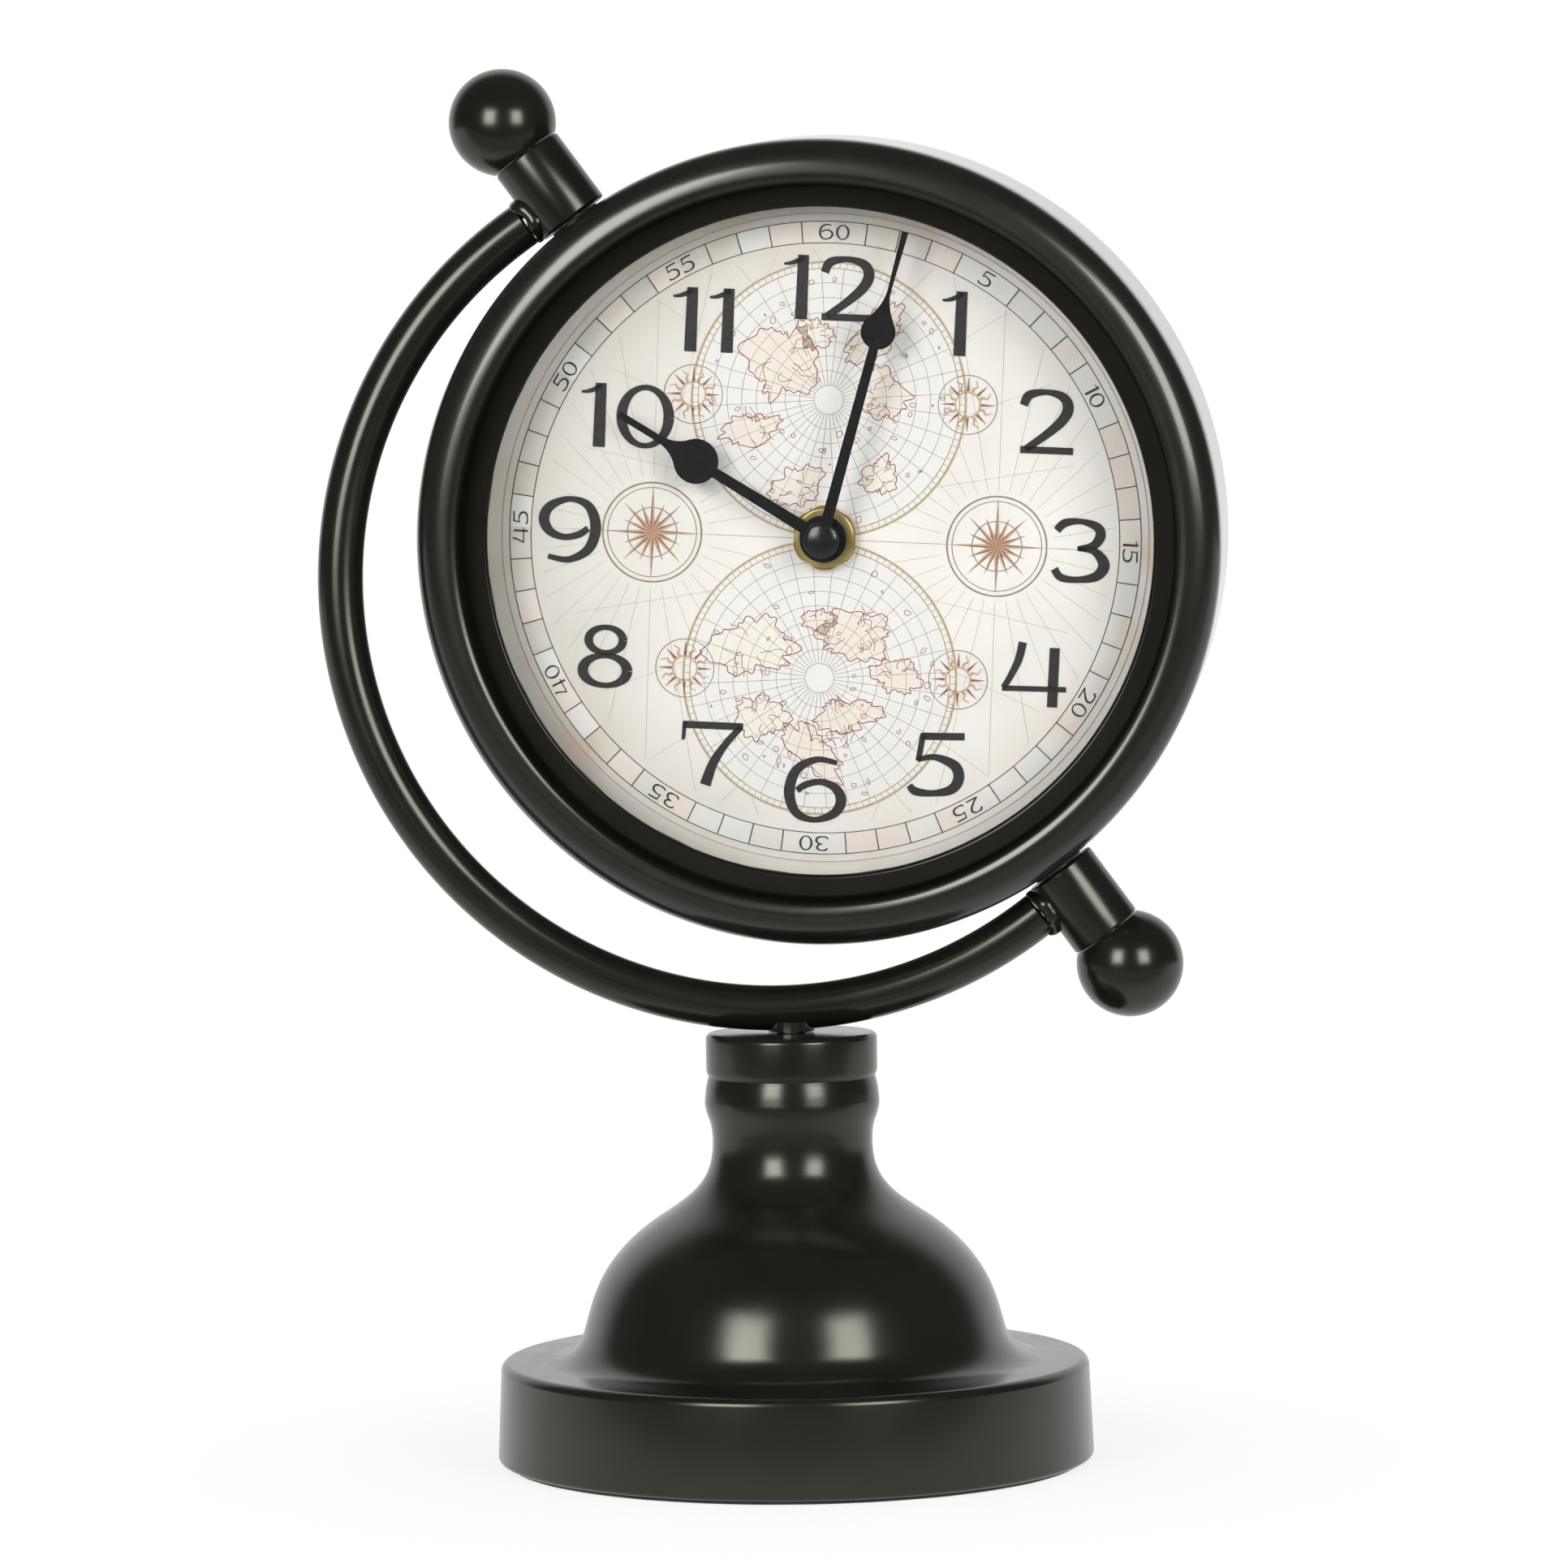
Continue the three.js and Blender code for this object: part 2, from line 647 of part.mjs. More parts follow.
function bezelRing() {
  const b = bezel;
  const halfWidth = b.beadWidth / 2;
  const middle = creaseRadius + halfWidth;
  const apex = widestDepth - b.beadHeight;
  const innerHeight = creaseDepth - apex;
  const outline = [
    [openingRadius, b.openingDepth],
    [creaseRadius, creaseDepth],
    ...quarter(middle, creaseDepth, halfWidth, innerHeight, 180, 270, 3),
    ...quarter(middle, widestDepth, halfWidth, b.beadHeight, 270, 360, 3),
    [caseShell.radius, bezelSeam],
    [skirtOuter, bezelSeam],
    [skirtOuter, b.skirtBack],
    [skirtInner, b.skirtBack],
    [skirtInner, widestDepth],
    [middle, apex + b.sheet],
    [cupOuter, creaseDepth],
    [cupOuter, cupBack],
    [cupInner - dial.lip, cupBack],
    [cupInner - dial.lip, lipFront],
    [cupInner, lipFront],
    [cupInner, ringBack],
    [openingRadius, ringBack],
  ];
  return fromSolid(cut(solid(turned(outline, sides.case)), ...boltHoles()));
}

function drumShell() {
  const c = caseShell;
  const rimInner = c.radius - c.rimWall;
  const outline = [
    [c.radius, bezelSeam + seatGap],
    [c.radius, c.back - c.rimReach],
    ...quarter(c.radius - c.rimRound, c.back - c.rimReach, c.rimRound, c.rimReach, 0, 90, 3),
    [rimInner, c.back],
    [rimInner, lipBack],
    [caseInner - c.lipWidth, lipBack],
    [caseInner - c.lipWidth, lipBack - c.wall],
    [caseInner, lipBack - c.wall],
    [caseInner, bezelSeam + seatGap],
  ];
  const shell = solid(turned(outline, sides.case));
  return fromSolid(cut(shell, ...boltHoles(), ...screwHoles(lipBack - overrun, lipBack + seatGap)));
}

// Holes for the axle bolts through the skirt and the drum, clear of the cup inside
function boltHoles() {
  return [1, -1].map((side) => {
    const hole = rod(axle.boltRadius + seatGap, cupOuter + seatGap, caseShell.radius + overrun);
    const placed = upright(hole).applyQuaternion(turnAbout(1, 0, 0, side > 0 ? 0 : 180));
    placed.translate(-caseOffset, 0, 0);
    return solid(placed.applyQuaternion(turnAbout(0, 1, 0, -axle.tiltDegrees)));
  });
}

function polar(distance, degrees) {
  return [distance * Math.cos(radians(degrees)), distance * Math.sin(radians(degrees))];
}

const screwAngles = [45, 135, 225, 315];
const screwPlace = (degrees) => polar(screwCircle, degrees);

function screwHoles(front, back) {
  return screwAngles.map((degrees) => {
    const [x, z] = screwPlace(degrees);
    return solid(rod(backScrew.radius + seatGap, front, back, sides.tiny).translate(x, 0, z));
  });
}

function backScrewBody(degrees) {
  const [x, z] = screwPlace(degrees);
  const s = backScrew;
  const head = coverBack + seatGap;
  const outline = [
    [0, head - s.length],
    [s.radius, head - s.length + s.radius / 2],
    [s.radius, head],
    [s.headRadius, head],
    [s.headRadius, head + s.headHeight / 2],
    [s.headRadius - s.headHeight / 2, head + s.headHeight],
    [0, head + s.headHeight],
  ];
  return turned(outline, sides.tiny).translate(x, 0, z);
}

function backCoverDisc() {
  const radius = caseShell.radius - caseShell.rimWall - seatGap;
  const half = movementHalf + backCover.openingMargin;
  const opening = roundedRectangle(-half, half, -half, half, backCover.openingRound);
  const disc = solid(rod(radius, coverFront, coverBack, sides.case));
  const window = plate(opening, coverFront - overrun, coverBack + overrun, 3);
  const turnedWindow = solid(window.applyQuaternion(turnAbout(0, 1, 0, dialTurnDegrees)));
  return fromSolid(cut(disc, turnedWindow, ...screwHoles(coverFront - overrun, coverBack + overrun)));
}

const gasketRing = () =>
  ring(discRadius - glass.gasketWidth, discRadius, ringBack + seatGap, gasketBack, sides.hoop);
const glassDisc = () => rod(discRadius, gasketBack + seatGap, glassBack, sides.case);
const spacerRing = () =>
  ring(discRadius - dial.spacerWall, discRadius, glassBack + seatGap, dialFront - seatGap, sides.hoop);
const dialDisc = () => ring(bushing.radius + seatGap, discRadius, dialFront, dialBack, sides.case);

// A round wire sprung into the cup behind the dial, open at the bottom
function retainingWire() {
  const middle = dialBack + seatGap + wireRadius;
  const outline = quarter(discRadius - wireRadius, middle, wireRadius, wireRadius, 0, 360, 6);
  const hoop = solid(turned(outline, sides.hoop));
  const opening = rectangle(-lockNut.acrossFlats / 2, lockNut.acrossFlats / 2, -caseShell.radius, 0);
  return fromSolid(hoop.subtract(solid(plate(opening, middle - overrun, middle + overrun))));
}

// Axle pieces stand along the axle; side -1 turns them to its lower end

const axleSide = (geometry, side) => (side > 0 ? geometry : geometry.rotateX(Math.PI));

const nutFace = Math.sqrt(skirtInner ** 2 - (caseOffset + lockNut.acrossFlats / 2) ** 2) - seatGap;
const boltStart = nutFace - lockNut.height - seatGap;
const boltEnd = knobSeat + knob.threadDepth;

const axleBolt = (side) => axleSide(upright(rod(axle.boltRadius, boltStart, boltEnd)), side);
const axleNut = (side) => axleSide(upright(plainNut(nutFace - lockNut.height, nutFace)), side);
const washerStart = caseShell.radius + (sleeve.caseGap - frictionWasher.thickness) / 2;
const frictionDisc = (side) =>
  axleSide(
    upright(
      ring(axle.boltRadius + seatGap, frictionWasher.radius, washerStart,
        washerStart + frictionWasher.thickness, sides.small),
    ),
    side,
  );

// A ball with a flat seat for the sleeve and a blind hole for the bolt
function ballKnob(side) {
  const centre = knobSeat + Math.sqrt(knob.radius ** 2 - sleeve.radius ** 2);
  const start = THREE.MathUtils.radToDeg(Math.asin((knobSeat - centre) / knob.radius));
  const hole = axle.boltRadius + seatGap;
  const outline = [
    [hole, knobSeat],
    [sleeve.radius, knobSeat],
    ...quarter(0, centre, knob.radius, knob.radius, start, 90, 8),
    [0, boltEnd + seatGap],
    [hole, boltEnd + seatGap],
  ];
  // The profile meets the axis twice at the top only, so it is turned as a closed loop from there
  const top = outline.findIndex(([radius]) => Math.abs(radius) < 1e-9);
  const loop = [...outline.slice(top + 1), ...outline.slice(0, top + 1)].map(([radius, depth]) => [
    Math.abs(radius) < 1e-9 ? 0 : radius,
    depth,
  ]);
  return axleSide(upright(turned(loop, sides.ball)), side);
}

// Hands, drawn pointing to twelve

function handBlade(h) {
  const length = openingRadius - h.tipGap;
  const bulbDistance = length - h.bulbFromTip;
  const leave = Math.PI - radians(h.shoulderDegrees);
  const join = -Math.PI / 2 - Math.asin(h.shaftEnd / 2 / h.bulbRadius);
  const side = [[-h.shaftRoot / 2, 0]];
  const steps = 7;
  for (let i = 0; i <= steps; i++) {
    const angle = join + ((leave - 2 * Math.PI - join) * i) / steps;
    side.push([h.bulbRadius * Math.cos(angle), bulbDistance + h.bulbRadius * Math.sin(angle)]);
  }
  const [x, y] = side[side.length - 1];
  const rise = (-h.needleRoot / 2 - x) / Math.sin(leave);
  const control = new THREE.Vector2(-h.needleRoot / 2, y - Math.cos(leave) * rise);
  const needle = new THREE.Vector2(-h.needleRoot / 2, length - h.needleLength);
  const neck = new THREE.QuadraticBezierCurve(new THREE.Vector2(x, y), control, needle);
  side.push(...follow(neck, 4), [-h.needleTip / 2, length]);
  const mirrored = side.map(([px, py]) => [-px, py]).reverse();
  return new THREE.Shape([...side, ...mirrored].map((p) => new THREE.Vector2(...p)));
}

function handBody(h, back, bore) {
  const front = back - hands.sheet;
  const blade = solid(plate(handBlade(h), front, back));
  const hub = solid(rod(h.hubRadius, front, back));
  const hole = solid(rod(bore, front - overrun, back + overrun));
  const turn = turnAbout(0, 1, 0, h.clockDegrees);
  return fromSolid(joined(blade, hub).subtract(hole)).applyQuaternion(turn);
}

function capDome() {
  const back = minuteBack - hands.sheet - seatGap;
  const outline = [
    [0, back],
    [handCap.radius, back],
    [handCap.radius, back - handCap.rim],
    ...quarter(0, back - handCap.rim, handCap.radius, handCap.height - handCap.rim, 0, -90, 5).slice(0, -1),
    [0, back - handCap.height],
  ];
  return turned(outline, sides.ball);
}

// Movement; its wheels stand on the dial's side of the works plate

const pairDistance = (one, other) => pitchRadius(one) + pitchRadius(other);
const motionSpan = pairDistance(teeth.cannonPinion, teeth.motionWheel);
const [motionX, motionZ] = polar(motionSpan, motionWheelDegrees);
const setSpan = polar(pairDistance(teeth.motionWheel, teeth.setPinion), setKnobDegrees);
const setX = motionX + setSpan[0];
const setZ = motionZ + setSpan[1];

const cannonPhase = radians(motionWheelDegrees);
const motionPhase = meshPhase(teeth.cannonPinion, cannonPhase, cannonPhase, teeth.motionWheel);
const setPhase = meshPhase(teeth.motionWheel, motionPhase, radians(setKnobDegrees), teeth.setPinion);
const hourPhase = meshPhase(teeth.motionPinion, 0, radians(motionWheelDegrees) + Math.PI, teeth.hourWheel);

function movementCase() {
  const m = movement;
  const half = movementHalf;
  const inner = movementInner;
  const square = roundedRectangle(-half, half, -half, half, m.cornerRound);
  const block = solid(plate(square, movementFront, movementBack, 3));
  const back = movementBack + overrun;
  const works = solid(plate(rectangle(-inner, inner, bayTop + m.bayWall, inner), movementFloor, back));
  const bay = solid(plate(rectangle(-inner, inner, -inner, bayTop), movementFloor, back));
  const stem = solid(rod(bushing.radius, stemFront, movementFloor, sides.small));
  const bore = solid(rod(bushing.bore, stemFront - overrun, back, sides.small));
  const post = solid(rod(motionPost, movementFloor - m.wall / 2, wheelBack + seatGap, sides.tiny));
  const shell = cut(joined(block, stem), works, bay, bore);
  return fromSolid(shell.add(post.translate(motionX, 0, motionZ)));
}

function movementCoverPlate() {
  const half = movementHalf - movementCover.inset;
  const outline = roundedRectangle(-half, half, bayTop, half, movement.cornerRound);
  const sheet = solid(plate(outline, coverPlateFront, coverPlateBack, 3));
  const hole = rod(setKnob.shaftRadius + seatGap, coverPlateFront - overrun, coverPlateBack + overrun);
  return fromSolid(sheet.subtract(solid(hole.translate(setX, 0, setZ))));
}

function worksPlateSheet() {
  const w = worksPlate;
  const edge = movementInner - w.margin;
  const outline = rectangle(-edge, edge, bayTop + movement.bayWall + w.margin, edge);
  const sheet = solid(plate(outline, worksFront, worksBack));
  const hole = (radius, x, z) =>
    solid(rod(radius, worksFront - overrun, worksBack + overrun).translate(x, 0, z));
  return fromSolid(
    cut(sheet, hole(minuteArborRadius + runGap, 0, 0), hole(setKnob.shaftRadius + runGap, setX, setZ)),
  );
}

function driveCoil() {
  const c = coil;
  const half = c.length / 2;
  const outline = [
    [0, -half],
    [c.radius, -half],
    [c.radius, -half + c.flange],
    [c.coreRadius, -half + c.flange],
    [c.coreRadius, half - c.flange],
    [c.radius, half - c.flange],
    [c.radius, half],
    [0, half],
  ];
  const y = worksBack + seatGap + c.radius;
  return turned(outline, sides.small).rotateZ(Math.PI / 2).translate(c.x, y, c.z);
}

function circuitPlate() {
  const b = circuitBoard;
  const front = worksBack + seatGap;
  const outline = rectangle(b.x - b.width / 2, b.x + b.width / 2, b.z - b.height / 2, b.z + b.height / 2);
  return plate(outline, front, front + b.thickness);
}

const batteryZ = (bayTop - movementInner) / 2;
const batteryY = movementFloor + seatGap + battery.radius;
const batteryStart = -movementInner + 2 * seatGap + contact.thickness + contact.springDepth;

function batteryCell() {
  const b = battery;
  const outline = [
    [0, 0],
    [b.radius - b.edge, 0],
    [b.radius, b.edge],
    [b.radius, b.length - b.edge],
    [b.radius - b.edge, b.length],
    [b.capRadius, b.length],
    [b.capRadius, b.length + b.capLength],
    [0, b.length + b.capLength],
  ];
  return turned(outline, sides.ball).rotateZ(-Math.PI / 2).translate(batteryStart, batteryY, batteryZ);
}

// Both contacts stand in slots at the ends of the battery bay; the spring one bows towards the cell
function contactLeaf(shape, x) {
  const depth = contact.width;
  const leaf = new THREE.ExtrudeGeometry(shape, { depth, bevelEnabled: false }).translate(0, 0, -depth / 2);
  return leaf.translate(x, batteryY, batteryZ);
}

function contactSpring() {
  const half = contact.width / 2;
  const t = contact.thickness;
  const points = [
    [0, -half],
    [t, -half],
    [t + contact.springDepth, 0],
    [t, half],
    [0, half],
    [contact.springDepth, 0],
  ];
  const shape = new THREE.Shape(points.map((p) => new THREE.Vector2(...p)));
  return contactLeaf(shape, -movementInner + seatGap);
}

function contactPlate() {
  const half = contact.width / 2;
  const shape = rectangle(0, contact.thickness, -half, half);
  return contactLeaf(shape, batteryStart + battery.length + battery.capLength + seatGap);
}

function brassNut() {
  const n = dialNut;
  const bore = bushing.radius + seatGap;
  return sixSidedNut(n.acrossFlats, bore, nutBack - n.height, nutBack, n.radius, n.chamfer);
}
const brassWasher = () =>
  ring(bushing.radius + seatGap, dialWasher.radius, dialFront - seatGap - dialWasher.thickness,
    dialFront - seatGap, sides.small);

// The arbor carries the minute hand at its front end and the cannon pinion near its back end
function minuteArbor() {
  const front = minuteBack - hands.sheet;
  const back = worksBack + seatGap;
  const shaft = solid(rod(minuteArborRadius, front, back));
  const pinion = solid(plate(gearShape(teeth.cannonPinion, cannonPhase), pinionFront, pinionBack));
  return fromSolid(shaft.add(pinion));
}

function hourWheelBody() {
  const m = motionWork;
  const back = hourWheelFront + m.hourWheelThickness;
  const wheel = solid(plate(gearShape(teeth.hourWheel, hourPhase, hourTube.bore), hourWheelFront, back));
  const tube = solid(ring(hourTube.bore, hourTube.radius, hourBack - hands.sheet, back, sides.small));
  return fromSolid(wheel.add(tube));
}

function motionWheelBody() {
  const bore = motionPost + runGap;
  const wheel = solid(plate(gearShape(teeth.motionWheel, motionPhase), wheelFront, wheelBack));
  const front = hourWheelFront - runGap;
  const pinion = solid(plate(gearShape(teeth.motionPinion, 0), front, wheelFront));
  const hole = solid(rod(bore, front - overrun, wheelBack + overrun, sides.tiny));
  return fromSolid(joined(wheel, pinion).subtract(hole)).translate(motionX, 0, motionZ);
}

function setKnobBody() {
  const k = setKnob;
  const front = coverPlateBack + seatGap;
  const shaft = solid(rod(k.shaftRadius, pinionFront, front + k.height));
  const pinion = solid(plate(gearShape(teeth.setPinion, setPhase), pinionFront, pinionBack));
  const head = solid(rod(k.radius, front, front + k.height, 2 * k.notchCount));
  const notches = Array.from({ length: k.notchCount }, (_, i) => {
    const [x, z] = polar(k.radius, (360 * i) / k.notchCount);
    return solid(rod(k.notchRadius, front - seatGap / 2, front + k.height + overrun, 6).translate(x, 0, z));
  });
  return fromSolid(joined(cut(head, ...notches), shaft, pinion)).translate(setX, 0, setZ);
}

// Assembly

const clock = new THREE.Group();
const tiltedStand = axlePlace.clone();
const caseGroup = new THREE.Group();
const axleInCase = new THREE.Group();
const dialGroup = new THREE.Group();
clock.add(tiltedStand, caseGroup);
caseGroup.add(axleInCase, dialGroup);

const tilt = radians(axle.tiltDegrees);
caseGroup.quaternion.copy(turnAbout(-Math.sin(tilt), 0, Math.cos(tilt), axle.caseTurnDegrees));
axleInCase.quaternion.copy(turnAbout(0, 1, 0, -axle.tiltDegrees));
axleInCase.position.set(-caseOffset, 0, 0).applyQuaternion(axleInCase.quaternion);
caseGroup.position.copy(axleInCase.position).negate().applyQuaternion(caseGroup.quaternion);
caseGroup.position.add(axlePlace.position);
dialGroup.quaternion.copy(turnAbout(0, 1, 0, dialTurnDegrees));

function add(group, name, geometry, look) {
  const material = new THREE.MeshStandardMaterial({ ...look, flatShading: true });
  const mesh = new THREE.Mesh(closed(geometry), material);
  mesh.name = name;
  group.add(mesh);
}

add(clock, "felt_pad", feltDisc(), finish.felt);
add(clock, "base_plate", basePlateDisc(), finish.steel);
add(clock, "pedestal", pedestalShell(), finish.blackPaint);
add(clock, "tie_rod_washer", tieWasher(), finish.steel);
add(clock, "tie_rod_nut", tieNut(), finish.steel);
add(clock, "tie_rod", tieRodBar(), finish.blackPaint);
add(tiltedStand, "arm_tube", armTube(), finish.blackPaint);
add(tiltedStand, "upper_sleeve", sleeveBlock(sleeve.radius, sleeve.bore, 1), finish.blackPaint);
add(tiltedStand, "lower_sleeve", sleeveBlock(sleeve.radius, sleeve.bore, -1), finish.blackPaint);

add(caseGroup, "bezel", bezelRing(), finish.blackPaint);
add(caseGroup, "drum_shell", drumShell(), finish.blackPaint);
add(caseGroup, "glass_gasket", gasketRing(), finish.rubber);
add(caseGroup, "glass", glassDisc(), finish.clear);
add(caseGroup, "spacer_ring", spacerRing(), finish.blackPlastic);
add(caseGroup, "dial_plate", dialDisc(), finish.paper);
add(caseGroup, "retaining_wire", retainingWire(), finish.steel);
add(caseGroup, "back_cover", backCoverDisc(), finish.blackPaint);
screwAngles.forEach((degrees, i) => {
  add(caseGroup, `back_screw_${i + 1}`, backScrewBody(degrees), finish.steel);
});

for (const [name, side] of [["upper", 1], ["lower", -1]]) {
  add(axleInCase, `${name}_axle_bolt`, axleBolt(side), finish.steel);
  add(axleInCase, `${name}_axle_nut`, axleNut(side), finish.steel);
  add(axleInCase, `${name}_friction_washer`, frictionDisc(side), finish.fibre);
  add(axleInCase, `${name}_knob`, ballKnob(side), finish.blackPaint);
}

add(dialGroup, "movement_case", movementCase(), finish.blackPlastic);
add(dialGroup, "movement_cover", movementCoverPlate(), finish.blackPlastic);
add(dialGroup, "works_plate", worksPlateSheet(), finish.whitePlastic);
add(dialGroup, "drive_coil", driveCoil(), finish.copper);
add(dialGroup, "circuit_board", circuitPlate(), finish.board);
add(dialGroup, "battery", batteryCell(), finish.cell);
add(dialGroup, "contact_spring", contactSpring(), finish.steel);
add(dialGroup, "contact_plate", contactPlate(), finish.steel);
add(dialGroup, "dial_washer", brassWasher(), finish.brass);
add(dialGroup, "dial_nut", brassNut(), finish.brass);

add(dialGroup, "hour_wheel", hourWheelBody(), finish.whitePlastic);
add(dialGroup, "hour_hand", handBody(hourHand, hourBack, hourTube.radius + runGap), finish.handBlack);
add(dialGroup, "motion_wheel", motionWheelBody(), finish.whitePlastic);
add(dialGroup, "set_knob", setKnobBody(), finish.blackPlastic);
add(dialGroup, "minute_arbor", minuteArbor(), finish.brass);
add(dialGroup, "minute_hand", handBody(minuteHand, minuteBack, minuteArborRadius + runGap), finish.handBlack);
add(dialGroup, "hand_cap", capDome(), finish.handBlack);

export default clock;
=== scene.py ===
# Looks for a desk clock whose round case spins on a tilted axle, on a turned pedestal.
# Lengths are in millimetres, apart from those of the studio and the finishes, which are in metres.
import math
import random

import bmesh
import bpy
from mathutils import Matrix, Vector


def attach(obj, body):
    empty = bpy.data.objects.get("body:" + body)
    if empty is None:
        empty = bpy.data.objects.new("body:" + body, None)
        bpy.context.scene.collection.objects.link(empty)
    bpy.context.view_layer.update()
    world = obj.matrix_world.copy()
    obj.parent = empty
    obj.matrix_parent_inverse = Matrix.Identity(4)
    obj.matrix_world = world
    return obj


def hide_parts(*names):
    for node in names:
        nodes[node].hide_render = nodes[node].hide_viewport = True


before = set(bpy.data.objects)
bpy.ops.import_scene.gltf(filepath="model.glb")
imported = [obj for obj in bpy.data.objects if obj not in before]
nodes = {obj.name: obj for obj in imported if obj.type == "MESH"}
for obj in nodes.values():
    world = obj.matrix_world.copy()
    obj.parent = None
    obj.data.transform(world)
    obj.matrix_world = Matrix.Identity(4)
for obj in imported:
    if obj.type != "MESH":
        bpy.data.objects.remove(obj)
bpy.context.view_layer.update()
mm = 0.001
print("clock frame loaded")

standing = {
    "axleMiddle": (6.6, 0, 192.8853),
    "tilt": 36.1,
    "caseTurn": -5.8,
    "caseOffset": 1.2,
    "dialTurn": 2.8,
}


def turnAbout(axis, degrees):
    return Matrix.Rotation(math.radians(degrees), 4, axis)


def polar(distance, degrees):
    angle = math.radians(degrees)
    return distance * math.cos(angle), distance * math.sin(angle)


leaning = turnAbout("Y", -standing["tilt"])
axleMove = Matrix.Translation(standing["axleMiddle"])
sideways = leaning @ Vector((standing["caseOffset"], 0, 0))
caseSpin = turnAbout(leaning @ Vector((0, 0, 1)), standing["caseTurn"])
upright = Matrix.Identity(4)
axlePlace = axleMove @ leaning
casePlace = axleMove @ caseSpin @ Matrix.Translation(sideways)
knobPlace = axleMove @ caseSpin @ leaning
dialPlace = casePlace @ turnAbout("Y", standing["dialTurn"])
standUp = turnAbout("X", 90)  # a form turned about Y, stood up along Z

photoView = {
    "distance": 1430,
    "height": 221,
    "aimHeight": 142.6,
    "side": -0.9,
    "around": 1.5,
    "lean": 0.7,
    "lens": 156.75,
}


def addObject(name, data):
    made = bpy.data.objects.new(name, data)
    bpy.context.scene.collection.objects.link(made)
    return made


def setCamera(view):
    around = math.radians(view["around"])
    across = Vector((view["side"], 0, 0))
    spot = Vector((math.sin(around), -math.cos(around), 0)) * view["distance"]
    spot += across + Vector((0, 0, view["height"]))
    aim = across + Vector((0, 0, view["aimHeight"]))
    camera = addObject("camera", bpy.data.cameras.new("camera"))
    camera.data.lens = view["lens"]
    camera.data.sensor_width = 36
    camera.data.clip_start = 0.05
    camera.data.clip_end = 50
    facing = (aim - spot).to_track_quat("-Z", "Y").to_matrix().to_4x4()
    camera.matrix_world = Matrix.Translation(spot * mm) @ facing @ turnAbout("Z", -view["lean"])
    bpy.context.scene.camera = camera


studio = {
    "boxes": {"left": ((-0.52, -1.06, 0.48), 1.05), "right": ((0.66, -1.04, 0.48), 0.95)},
    "layers": (((0.42, 0.52), 8.5), ((0.58, 0.74), 2.4)),
    "aimHeight": 0.16,
    "fill": 0.6,
    "front": 0.1,
    "backdrop": (0.42, 0.74),
    "floor": ((-3, -0.4, 0), (3, -0.4, 0), (3, 6, 0), (-3, 6, 0)),
    "floorShade": (0.9, 0.9, 0.9, 1),
    "floorGlow": (0.06, 0.15, 0.82),
    "floorGloss": (-0.16, -0.04, 0.4),
}


# Each soft box is a bright middle with a dimmer rim round it
def addSoftBox(name, spot, share):
    for i, (size, radiance) in enumerate(studio["layers"]):
        lamp = bpy.data.lights.new(f"{name}SoftBox{i}", "AREA")
        lamp.shape = "RECTANGLE"
        lamp.size, lamp.size_y = size
        lamp.energy = radiance * share * math.pi * size[0] * size[1]
        box = addObject(f"{name}SoftBox{i}", lamp)
        away = Vector(spot) - Vector((0, 0, studio["aimHeight"]))
        box.location = Vector(spot) + away.normalized() * 0.01 * i
        box.rotation_mode = "QUATERNION"
        box.rotation_quaternion = away.to_track_quat("Z", "Y")


def node(tree, kind, **inputs):
    made = tree.nodes.new(f"ShaderNode{kind}")
    for key, value in inputs.items():
        made.inputs[key.replace("_", " ")].default_value = value
    return made


def math2(tree, operation, first, second):
    made = node(tree, "Math")
    made.operation = operation
    for socket, value in zip(made.inputs, (first, second)):
        if isinstance(value, (int, float)):
            socket.default_value = value
        else:
            tree.links.new(value, socket)
    return made.outputs[0]


# Maps a value from low and high to start and end, with soft ends or straight
def fade(tree, value, low, high, start=0, end=1, soft=True):
    made = node(tree, "MapRange")
    made.interpolation_type = "SMOOTHSTEP" if soft else "LINEAR"
    for socket, number in zip(("From Min", "From Max", "To Min", "To Max"), (low, high, start, end)):
        made.inputs[socket].default_value = number
    tree.links.new(value, made.inputs["Value"])
    return made.outputs[0]


def vectorMath(tree, operation, value, fixed=(0, 0, 0)):
    made = node(tree, "VectorMath")
    made.operation = operation
    made.inputs[1].default_value = fixed
    tree.links.new(value, made.inputs[0])
    return made.outputs["Value" if operation in ("LENGTH", "DISTANCE") else "Vector"]


def coordinates(tree, kind="Object"):
    return node(tree, "TexCoord").outputs[kind]


def depthOf(tree, where):
    parts = node(tree, "SeparateXYZ")
    tree.links.new(where, parts.inputs[0])
    return parts.outputs["Y"]


# White behind the clock for the camera, and for gloss and glass; a dark room in front of it
def setWorld():
    world = bpy.data.worlds.new("studioRoom")
    bpy.context.scene.world = world
    world.use_nodes = True
    tree = world.node_tree
    tree.nodes.clear()
    ray = node(tree, "LightPath").outputs
    behind = fade(tree, depthOf(tree, coordinates(tree, "Generated")), *studio["backdrop"], studio["front"])
    shiny = math2(tree, "MAXIMUM", ray["Is Glossy Ray"], ray["Is Transmission Ray"])
    plain = math2(tree, "SUBTRACT", 1, math2(tree, "MAXIMUM", shiny, ray["Is Camera Ray"]))
    level = math2(tree, "ADD", ray["Is Camera Ray"], math2(tree, "MULTIPLY", shiny, behind))
    level = math2(tree, "ADD", level, math2(tree, "MULTIPLY", plain, studio["fill"]))
    sky = node(tree, "Background", Color=(1, 1, 1, 1))
    tree.links.new(level, sky.inputs["Strength"])
    out = node(tree, "OutputWorld")
    tree.links.new(sky.outputs[0], out.inputs[0])


